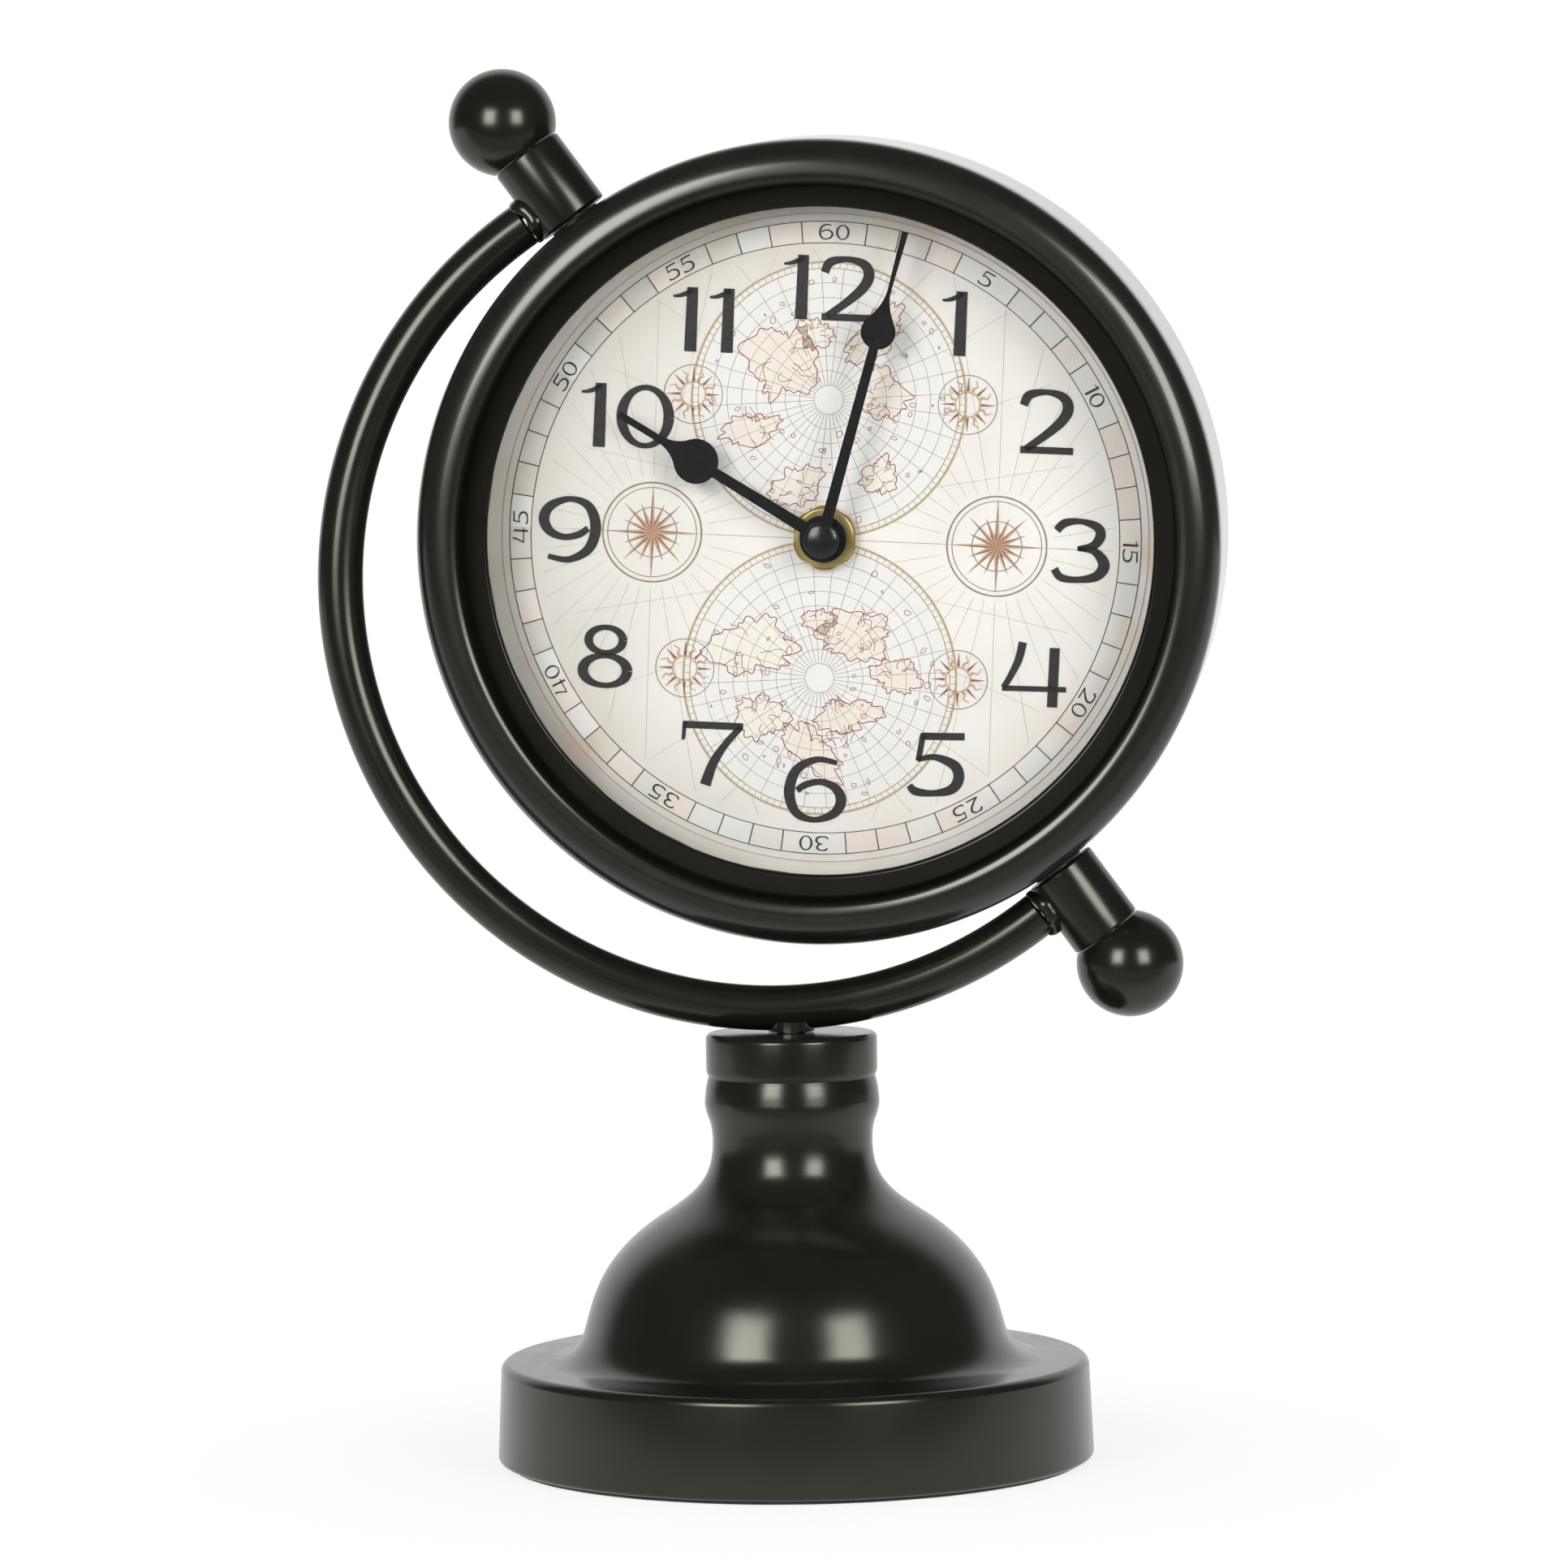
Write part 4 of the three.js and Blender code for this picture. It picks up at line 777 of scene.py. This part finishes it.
def makeCutter(low, high, place):
    corners = [(x, y, z) for x in (low[0], high[0]) for y in (low[1], high[1]) for z in (low[2], high[2])]
    faces = [(0, 1, 3, 2), (4, 6, 7, 5), (0, 4, 5, 1), (2, 3, 7, 6), (0, 2, 6, 4), (1, 5, 7, 3)]
    mesh = bpy.data.meshes.new("slotCutter")
    mesh.from_pydata([(place @ Vector(p)) * mm for p in corners], [], faces)
    return addObject("slotCutter", mesh)


def cutWith(piece, cutter):
    cut = piece.modifiers.new("cut", "BOOLEAN")
    cut.object = cutter
    cut.solver = "EXACT"
    bpy.context.view_layer.update()
    final = bpy.data.meshes.new_from_object(piece.evaluated_get(bpy.context.evaluated_depsgraph_get()))
    piece.modifiers.remove(cut)
    piece.data = final
    bpy.data.objects.remove(cutter)


s = panScrew
for i in range(4):
    name = f"panScrew{i + 1}"
    x, z = polar(backDisc["screwCircle"], 45 + 90 * i)
    spot = casePlace @ Matrix.Translation((x, 0, z)) @ turnAbout("Y", s["firstTurn"] + s["moreTurn"] * i)
    shape = turned(rounded(s["profile"], 4), 40)
    screw = makePiece(name, shape, zincSteel, "case", f"back_screw_{i + 1}", spot)
    for wide, deep in ((s["slotReach"], s["slot"] / 2), (s["slot"] / 2, s["slotReach"])):
        low, high = (-wide, s["top"] - s["slotDepth"], -deep), (wide, s["top"] + 1, deep)
        cutWith(screw, makeCutter(low, high, spot))
print("case made")

ball = {"radius": 11.2, "seat": 101.7, "flat": 7.8, "hole": 3.3, "holeDepth": 10.8}


def ballProfile(b):
    centre = b["seat"] + math.sqrt(b["radius"] ** 2 - b["flat"] ** 2)
    start = math.degrees(math.asin((b["seat"] - centre) / b["radius"]))
    bottom = b["seat"] + b["holeDepth"]
    return [
        (0, bottom), (b["hole"], bottom), (b["hole"], b["seat"]), (b["flat"] - 0.3, b["seat"]),
        *arcPoints(0, centre, b["radius"], b["radius"], start, 89.9, 48), (0, centre + b["radius"]),
    ]


knobShape = moved(turned(ballProfile(ball), 128), standUp)
for side, shape in (("upper", knobShape), ("lower", moved(knobShape, flip))):
    makePiece(f"{side}BallKnob", shape, blackPaint, "case", f"{side}_knob", knobPlace)
    showNode(f"{side}_axle_bolt", zincSteel)
    showNode(f"{side}_axle_nut", zincSteel, 0.15)
    showNode(f"{side}_friction_washer", pressedFibre)
print("axle pieces made")

clockHands = {
    "sheet": 0.4,
    "minute": {
        "back": 0.3, "degrees": 13.3, "hub": 3.2, "root": 2.4, "end": 2, "drop": 45.2, "dropRadius": 3.65,
        "shoulder": 36, "needle": 54.2, "needleRoot": 0.8, "needleTip": 1.4, "length": 66.8,
    },
    "hour": {
        "back": 3.3, "degrees": 299.2, "hub": 4.95, "root": 2.6, "end": 2.2, "drop": 31.3,
        "dropRadius": 4.75, "shoulder": 48, "needle": 40.7, "needleRoot": 1.5, "needleTip": 1.5,
        "length": 50.4,
    },
}


# A shaft, a drop whose shoulders sweep into the needle, and a round hub
def handOutline(h):
    leave = 180 - h["shoulder"]
    join = -90 - math.degrees(math.asin(h["end"] / 2 / h["dropRadius"]))
    start = math.sqrt(h["hub"] ** 2 - (h["root"] / 2) ** 2)
    side = [(-h["root"] / 2, start)]
    side += arcPoints(0, h["drop"], h["dropRadius"], h["dropRadius"], join, leave - 360, 26)
    x, y = side[-1]
    end = (-h["needleRoot"] / 2, h["needle"])
    slope = math.radians(leave)
    rise = (end[0] - x) / math.sin(slope)
    controlY = y - math.cos(slope) * rise
    handles = [(px + (end[0] - px) * 2 / 3, py + (controlY - py) * 2 / 3) for px, py in ((x, y), end)]
    side += bezier((x, y), *handles, end, 14)
    side.append((-h["needleTip"] / 2, h["length"]))
    around = math.degrees(math.atan2(start, h["root"] / 2))
    hub = arcPoints(0, 0, h["hub"], h["hub"], around, -180 - around, 60)[1:-1]
    return side + [(-px, py) for px, py in reversed(side)] + hub


for name in ("minute", "hour"):
    h = clockHands[name]
    plate = plateShape(handOutline(h), h["back"] - clockHands["sheet"], h["back"])
    shape = moved(plate, turnAbout("Y", h["degrees"]))
    makePiece(f"{name}HandBlade", shape, handLacquer, name, f"{name}_hand", dialPlace, 30)

domedCap = {"radius": 3.75, "back": -0.4, "rim": 0.35, "height": 1.3}


def capProfile(c):
    front = c["back"] - c["rim"]
    dome = arcPoints(0, front, c["radius"], c["height"] - c["rim"], 0, -89.9, 20)
    return [(0, c["back"]), (c["radius"], c["back"]), *dome, (0, c["back"] - c["height"])]


makePiece("domedHandCap", turned(capProfile(domedCap), 96), capLacquer, "minute", "hand_cap",
          dialPlace)

brassNut = {
    "profile": [(4.3, 5.8, 0.2), (6.1, 5.8, 0.3), (6.85, 6.35, 0.3), (6.85, 8, 0.1), (4.3, 8)],
    "washer": [(4.3, 8.3), (6.3, 8.3, 0.1), (6.3, 8.7, 0.1), (4.3, 8.7)],
    "flats": 13, "roundWithin": 4.8,
}


def hexReach(radius, angle):
    if radius <= brassNut["roundWithin"]:
        return radius
    part = (angle + math.pi / 6) % (math.pi / 3) - math.pi / 6
    return min(radius, brassNut["flats"] / 2 / math.cos(part + 1e-9))


nutShape = turned(rounded(brassNut["profile"]), 240, hexReach)
washerShape = turned(rounded(brassNut["washer"], 3), 128)
makePiece("brassStemNut", nutShape, turnedBrass, "case", "dial_nut", dialPlace, 30)
makePiece("brassStemWasher", washerShape, turnedBrass, "case", "dial_washer", dialPlace)
showNode("minute_arbor", turnedBrass)
for name in ("hour_wheel", "motion_wheel", "works_plate"):
    showNode(name, wheelPlastic)
print("hands made")

showNode("movement_case", movementPlastic, 0.35)
showNode("movement_cover", movementPlastic, 0.3)
showNode("drive_coil", copperWinding)
showNode("circuit_board", boardLacquer)
for name in ("contact_spring", "contact_plate"):
    showNode(name, zincSteel)

notchedKnob = {
    "profile": [
        (0, 14), (1.2, 14), (1.2, 26.6), (6, 26.6, 0.3), (6, 29.1, 0.5), (4.2, 29.1, 0.3),
        (3.8, 28.3, 0.3), (0, 28.3),
    ],
    "notches": 12, "notch": 0.6, "notchesFrom": 5, "place": (-11.61, 0, 15.13),
}


def knobNotches(radius, angle):
    if radius < notchedKnob["notchesFrom"]:
        return radius
    return radius - notchedKnob["notch"] * max(0, math.cos(angle * notchedKnob["notches"])) ** 6


settingShape = turned(rounded(notchedKnob["profile"]), 144, knobNotches)
makePiece("notchedSettingKnob", settingShape, movementPlastic, "setting", "set_knob",
          dialPlace @ Matrix.Translation(notchedKnob["place"]))

cell = {
    "start": (-24.8, 19.2, -18.35),
    "sleeve": [(6.2, 0.25), (7, 0.25, 0.5), (7, 38.2), (6.2, 38.2)],
    "band": [(6.2, 38.2), (7, 38.2), (7, 48.95, 0.5), (6.2, 48.95)],
    "ends": [(0, 0), (5.2, 0, 0.3), (6.3, 0.3), (6.3, 48.9), (2.7, 49.1, 0.3), (2.7, 50.5, 0.4), (0, 50.5)],
}
lying = dialPlace @ Matrix.Translation(cell["start"]) @ turnAbout("Z", -90)
for name, finish in (("Sleeve", cellSleeve), ("Band", cellBand), ("Ends", zincSteel)):
    shape = turned(rounded(cell[name.lower()], 4), 72)
    replaced = "battery" if name == "Sleeve" else None
    makePiece(f"cell{name}", shape, finish, "case", replaced, lying)
print("movement made")

dialPrint = {
    "front": 9, "gap": 0.02, "layer": 0.03, "centre": (-0.34, -0.49), "edge": 68.4, "edgeLine": 0.2,
    "trackInner": 62.3, "trackOuter": 66.8, "trackLine": 0.15, "line": 0.2,
    "numbers": 64.55, "numberHeight": 3.2, "numberWeight": 0.84, "numeralHeight": 13.5, "digitGap": 0.17,
}
numeralPlaces = (
    (25.4, 45.9), (45.9, 26.15), (53.8, -0.66), (45.1, -27.2), (25.2, -47.2), (-0.4, -53.7),
    (-22.6, -46.9), (-46, -27.2), (-54.4, -0.5), (-42.9, 23.85), (-27.5, 44.7), (-0.75, 52.35),
)


# Points round an oval with thick sides and a thin top and bottom
def ovalStroke(x, z, width, height, thick, thin, count=40):
    spots = []
    for k in range(count + 1):
        turn = 2 * math.pi * k / count
        weight = thick * math.cos(turn) ** 2 + thin * math.sin(turn) ** 2
        spots.append((x + width * math.cos(turn), z + height * math.sin(turn), weight))
    return spots


# Strokes of each digit as (across, up, width) in shares of its height
sixNine = [
    (0.12, 0.06, 0.08), (0.45, 0.02, 0.1), (0.76, 0.2, 0.15), (0.86, 0.55, 0.17), (0.74, 0.87, 0.14),
    (0.45, 0.97, 0.09), (0.15, 0.86, 0.14), (0.04, 0.66, 0.17), (0.13, 0.46, 0.14), (0.36, 0.37, 0.1),
    (0.6, 0.42, 0.11), (0.74, 0.52, 0.1),
]
digitStrokes = {
    "0": [("curve", ovalStroke(0.45, 0.5, 0.37, 0.455, 0.165, 0.085))],
    "1": [("line", [(0.3, 1, 0.17), (0.29, 0, 0.19)]),
          ("curve", [(0.32, 0.965, 0.07), (0.2, 0.9, 0.075), (0.1, 0.865, 0.06), (0, 0.855, 0.035)])],
    "2": [("curve", [(0.05, 0.74, 0.13), (0.13, 0.9, 0.14), (0.4, 0.955, 0.09), (0.65, 0.89, 0.14),
                     (0.74, 0.73, 0.17), (0.66, 0.53, 0.16), (0.42, 0.3, 0.13), (0.1, 0.06, 0.11)]),
          ("line", [(0.02, 0.05, 0.11), (0.84, 0.05, 0.11)])],
    "3": [("curve", [(0.03, 0.8, 0.12), (0.15, 0.92, 0.13), (0.4, 0.955, 0.09), (0.65, 0.88, 0.14),
                     (0.71, 0.74, 0.16), (0.6, 0.58, 0.13), (0.36, 0.53, 0.07)]),
          ("curve", [(0.36, 0.53, 0.07), (0.62, 0.5, 0.12), (0.78, 0.3, 0.18), (0.67, 0.11, 0.15),
                     (0.38, 0.045, 0.1), (0.12, 0.07, 0.12), (0.01, 0.2, 0.12)])],
    "4": [("curve", [(0.3, 1, 0.13), (0.24, 0.72, 0.12), (0.12, 0.45, 0.1), (0.02, 0.28, 0.09)]),
          ("line", [(0, 0.27, 0.085), (1, 0.285, 0.085)]),
          ("line", [(0.8, 0.93, 0.155), (0.79, 0, 0.16)])],
    "5": [("line", [(0.2, 0.94, 0.115), (0.87, 0.96, 0.115)]),
          ("line", [(0.22, 0.98, 0.09), (0.16, 0.55, 0.09)]),
          ("curve", [(0.15, 0.57, 0.08), (0.42, 0.62, 0.1), (0.73, 0.5, 0.16), (0.8, 0.3, 0.17),
                     (0.69, 0.12, 0.15), (0.4, 0.05, 0.1), (0.13, 0.07, 0.13), (0.03, 0.16, 0.1)])],
    "6": [("curve", [(0.88 - x, 1 - z, width) for x, z, width in sixNine])],
    "7": [("line", [(0, 0.94, 0.115), (0.95, 0.94, 0.115)]),
          ("line", [(0.03, 0.98, 0.07), (0.01, 0.7, 0.05)]),
          ("curve", [(0.91, 0.93, 0.1), (0.7, 0.68, 0.11), (0.5, 0.36, 0.145), (0.38, 0, 0.17)])],
    "8": [("curve", ovalStroke(0.42, 0.755, 0.27, 0.2, 0.135, 0.085)),
          ("curve", ovalStroke(0.42, 0.275, 0.35, 0.235, 0.165, 0.085))],
    "9": [("curve", sixNine)],
}


# Print lies in layers just in front of the paper; a higher layer is nearer to the glass
def layerDepth(layer):
    return dialPrint["front"] - dialPrint["gap"] - dialPrint["layer"] * layer


# A flat ribbon along (across, up, width) points, facing the front
def ribbon(path, layer, closed=False):
    count = len(path)
    depth = layerDepth(layer)
    points, faces = [], []
    for i, (x, z, width) in enumerate(path):
        before = path[i - 1] if closed or i else path[i]
        after = path[(i + 1) % count] if closed or i < count - 1 else path[i]
        dx, dz = after[0] - before[0], after[1] - before[1]
        size = math.hypot(dx, dz) or 1
        nx, nz = -dz / size * width / 2, dx / size * width / 2
        points += [(x + nx, depth, z + nz), (x - nx, depth, z - nz)]
    for i in range(count if closed else count - 1):
        a, b = 2 * i, 2 * ((i + 1) % count)
        faces.append((a, a + 1, b + 1, b))
    return points, faces


def hoop(x, z, radius, width, layer, count=96):
    spots = (polar(radius, 360 * i / count) for i in range(count))
    return ribbon([(x + px, z + pz, width) for px, pz in spots], layer, True)


def spoke(x, z, degrees, inner, outer, width, layer):
    ends = (polar(inner, degrees), polar(outer, degrees))
    return ribbon([(x + px, z + pz, width) for px, pz in ends], layer)


# A flat patch from its outline, as a fan about its middle
def patch(x, z, outline, layer):
    points = [(px, layerDepth(layer), pz) for px, pz in ((x, z), *outline)]
    count = len(outline)
    return points, [(0, 1 + (i + 1) % count, 1 + i) for i in range(count)]


# A number whose box has its middle at the origin
def numberShape(text, height, weight, layer):
    parts, left, right = [], 0, 0
    for digit in text:
        strokes = []
        for kind, stroke in digitStrokes[digit]:
            path = smoothed(stroke) if kind == "curve" else stroke
            strokes.append([(x, z, width * weight) for x, z, width in path])
        shift = left - min(x - width / 2 for path in strokes for x, z, width in path)
        right = shift + max(x + width / 2 for path in strokes for x, z, width in path)
        left = right + dialPrint["digitGap"]
        for path in strokes:
            scaled = [((x + shift) * height, (z - 0.5) * height, width * height) for x, z, width in path]
            parts.append(scaled)
    middle = right * height / 2
    return merged(*(ribbon([(x - middle, z, width) for x, z, width in path], layer) for path in parts))


inks = {
    "numerals": ("numeralInk", (0.014, 0.012, 0.01), 0.015),
    "track": ("trackInk", (0.032, 0.028, 0.024), 0.03),
    "rim": ("rimInk", (0.56, 0.44, 0.35), 0.2),
    "cells": ("cellTint", (0.76, 0.75, 0.69), 0.4),
    "warmCells": ("warmCellTint", (0.79, 0.7, 0.61), 0.3),
    "sea": ("seaTint", (0.77, 0.76, 0.71), 0.4),
    "net": ("netInk", (0.36, 0.33, 0.29), 0.2),
    "ochre": ("ochreInk", (0.46, 0.33, 0.15), 0.2),
    "land": ("landTint", (0.79, 0.71, 0.61), 0.3),
    "sand": ("sandTint", (0.79, 0.76, 0.65), 0.3),
    "coast": ("coastInk", (0.3, 0.09, 0.06), 0.1),
    "rose": ("roseInk", (0.22, 0.15, 0.11), 0.15),
    "rhumb": ("rhumbInk", (0.46, 0.43, 0.38), 0.3),
}
printed = {kind: [] for kind in inks}
d = dialPrint
centreX, centreZ = d["centre"]


def addPrint(kind, shape):
    printed[kind].append(shape)


def printTrack():
    for i, (x, z) in enumerate(numeralPlaces):
        shape = numberShape(str(i + 1), d["numeralHeight"], 1, 6)
        addPrint("numerals", moved(shape, Matrix.Translation((x, 0, z))))
    for minute in range(60):
        heading = 90 - 6 * minute
        if minute % 5:
            tick = spoke(centreX, centreZ, heading, d["trackInner"], d["trackOuter"], d["line"], 5)
            addPrint("track", tick)
            continue
        shape = numberShape(str(minute or 60), d["numberHeight"], d["numberWeight"], 5)
        x, z = polar(d["numbers"], heading)
        spot = Matrix.Translation((centreX + x, 0, centreZ + z)) @ turnAbout("Y", 6 * minute)
        addPrint("track", moved(shape, spot))
    middle, wide = (d["trackInner"] + d["trackOuter"]) / 2, d["trackOuter"] - d["trackInner"]
    for minute in range(60):
        kind = random.choice(("cells", "warmCells", None, None))
        if kind:
            arc = [polar(middle, 90 - 6 * (minute + share / 6)) for share in range(7)]
            addPrint(kind, ribbon([(centreX + x, centreZ + z, wide) for x, z in arc], 1))
    for radius in (d["trackInner"], d["trackOuter"]):
        addPrint("track", hoop(centreX, centreZ, radius, d["trackLine"], 5, 240))
    addPrint("rim", hoop(centreX, centreZ, d["edge"], d["edgeLine"], 5, 240))


chart = {
    "radius": 27.6, "ring": 28.9, "offset": 29.4, "margin": 0.3, "ringLine": 0.45, "edgeLine": 0.22,
    "netLine": 0.12, "tickLine": 0.14, "coastLine": 0.2, "fineLine": 0.13, "circles": 9, "spokes": 36,
    "lands": 7, "landSpot": (9, 20), "landSize": (3.4, 8), "isles": 60, "isleSize": (0.22, 0.8),
    "roseX": 36.5, "rose": 10.5, "roseHoops": ((1, 0.3), (0.9, 0.14), (0.5, 0.16), (0.2, 0.2)),
    "rays": 32, "rayEnd": 60.6, "rayLength": 90, "rayLine": 0.11, "sun": 6.2, "sunSpot": 41,
}


# A ragged closed outline, kept inside the chart's circle
def raggedOutline(x, z, radius, ragged, count, chartX, chartZ):
    waves = [(random.uniform(0.4, 1) * ragged / n, n, random.uniform(0, 6.3)) for n in range(2, 29)]
    lie, thin = random.uniform(0, 3.1), random.uniform(0.45, 0.9)
    limit = chart["radius"] - chart["margin"]
    spots = []
    for i in range(count):
        turn = 2 * math.pi * i / count
        reach = radius * max(0.2, 1 + sum(size * math.sin(n * turn + phase) for size, n, phase in waves))
        u, v = reach * math.cos(turn), reach * math.sin(turn) * thin
        px, pz = x + u * math.cos(lie) - v * math.sin(lie), z + u * math.sin(lie) + v * math.cos(lie)
        away = math.hypot(px - chartX, pz - chartZ)
        if away > limit:
            px, pz = chartX + (px - chartX) * limit / away, chartZ + (pz - chartZ) * limit / away
        spots.append((px, pz))
    return spots


def windingLine(x, z, heading, steps, stride, width):
    path = []
    for _ in range(steps):
        path.append((x, z, width))
        heading += random.uniform(-0.7, 0.7)
        x, z = x + stride * math.cos(heading), z + stride * math.sin(heading)
    return path


def printChart(side, c):
    x0, z0 = centreX, centreZ + side * c["offset"]
    rim = [polar(c["ring"], 3 * i) for i in range(120)]
    addPrint("sea", patch(x0, z0, [(x0 + px, z0 + pz) for px, pz in rim], 2))
    addPrint("ochre", hoop(x0, z0, c["ring"], c["ringLine"], 4, 160))
    addPrint("ochre", hoop(x0, z0, c["radius"], c["edgeLine"], 4, 160))
    for i in range(1, c["circles"]):
        addPrint("net", hoop(x0, z0, c["radius"] * i / c["circles"], c["netLine"], 4))
    for i in range(c["spokes"]):
        heading = 360 / c["spokes"] * (i + side / 2)
        inner = c["radius"] / c["circles"]
        addPrint("net", spoke(x0, z0, heading, inner, c["radius"], c["netLine"], 4))
    for i in range(120):
        addPrint("net", spoke(x0, z0, 3 * i, c["radius"], c["ring"], c["tickLine"], 4))
    for i in range(c["lands"]):
        px, pz = polar(random.uniform(*c["landSpot"]), 360 / c["lands"] * i + random.uniform(-16, 16))
        x, z = x0 + px, z0 + pz
        size = random.uniform(*c["landSize"])
        outline = raggedOutline(x, z, size, 0.42, 150, x0, z0)
        addPrint(random.choice(("land", "sand")), patch(x, z, outline, 3))
        addPrint("coast", ribbon([(*spot, c["coastLine"]) for spot in outline], 5, True))
        for _ in range(7):
            start = random.uniform(0, 6.3)
            spot = (x + size * 0.3 * math.cos(start), z + size * 0.3 * math.sin(start))
            river = windingLine(*spot, start, int(size * 1.7), 0.42, c["fineLine"])
            addPrint("coast", ribbon(river, 5))
    for _ in range(c["isles"]):
        px, pz = polar(c["radius"] * math.sqrt(random.uniform(0.02, 0.93)), random.uniform(0, 360))
        outline = raggedOutline(x0 + px, z0 + pz, random.uniform(*c["isleSize"]), 0.3, 14, x0, z0)
        addPrint("coast", ribbon([(*spot, c["fineLine"]) for spot in outline], 5, True))


# A compass rose whose rays run on to the track
def printRose(side, c):
    x0, z0 = centreX + side * c["roseX"], centreZ
    size = c["rose"]
    for i in range(c["rays"]):
        heading = 360 / c["rays"] * i
        across, up = polar(1, heading)
        reach = size * 1.15
        while math.hypot(x0 + across * reach, z0 + up * reach) < c["rayEnd"] and reach < c["rayLength"]:
            reach += 0.5
        addPrint("rhumb", spoke(x0, z0, heading, size * 1.12, reach, c["rayLine"], 1))
    for share, width in c["roseHoops"]:
        addPrint("rose", hoop(x0, z0, size * share, width, 4, 72))
    for i in range(16):
        tip = polar(size * (0.98, 0.62, 0.82, 0.62)[i % 4], 22.5 * i)
        for half, kind in ((1, "coast"), (-1, "ochre")):
            foot = polar(size * 0.2, 22.5 * i + 11.25 * half)
            corners = [(x0 + tip[0], z0 + tip[1]), (x0 + foot[0], z0 + foot[1]), (x0, z0)]
            addPrint(kind, ([(px, layerDepth(5), pz) for px, pz in corners[::half]], [(0, 1, 2)]))


# A small sun with straight and wavy rays in turn
def printSun(quarter, c):
    x0, z0 = polar(c["sunSpot"], 45 + 90 * quarter)
    size = c["sun"]
    addPrint("ochre", hoop(x0, z0, size * 0.42, 0.3, 4, 48))
    addPrint("rose", hoop(x0, z0, size, 0.16, 4, 60))
    for i in range(16):
        heading = math.radians(22.5 * i)
        path = []
        for k in range(7):
            reach = size * (0.46 + 0.075 * k)
            sway = heading + 0.09 * math.sin(k * 1.5) * (i % 2)
            path.append((x0 + reach * math.cos(sway), z0 + reach * math.sin(sway), 0.62 * (1 - k / 6.6)))
        addPrint("ochre" if i % 2 else "coast", ribbon(path, 4))


random.seed(27)
printTrack()
for side in (1, -1):
    printChart(side, chart)
for side in (1, -1):
    printRose(side, chart)
for quarter in range(4):
    printSun(quarter, chart)
showNode("dial_plate", makePaper(dialPlace @ Vector((centreX, d["front"], centreZ)) * mm, paperAge))
for kind, shapes in printed.items():
    makePiece(f"{kind}Print", merged(*shapes), makeInk(*inks[kind]), "case", place=dialPlace,
              outward=False)
print("dial print made")
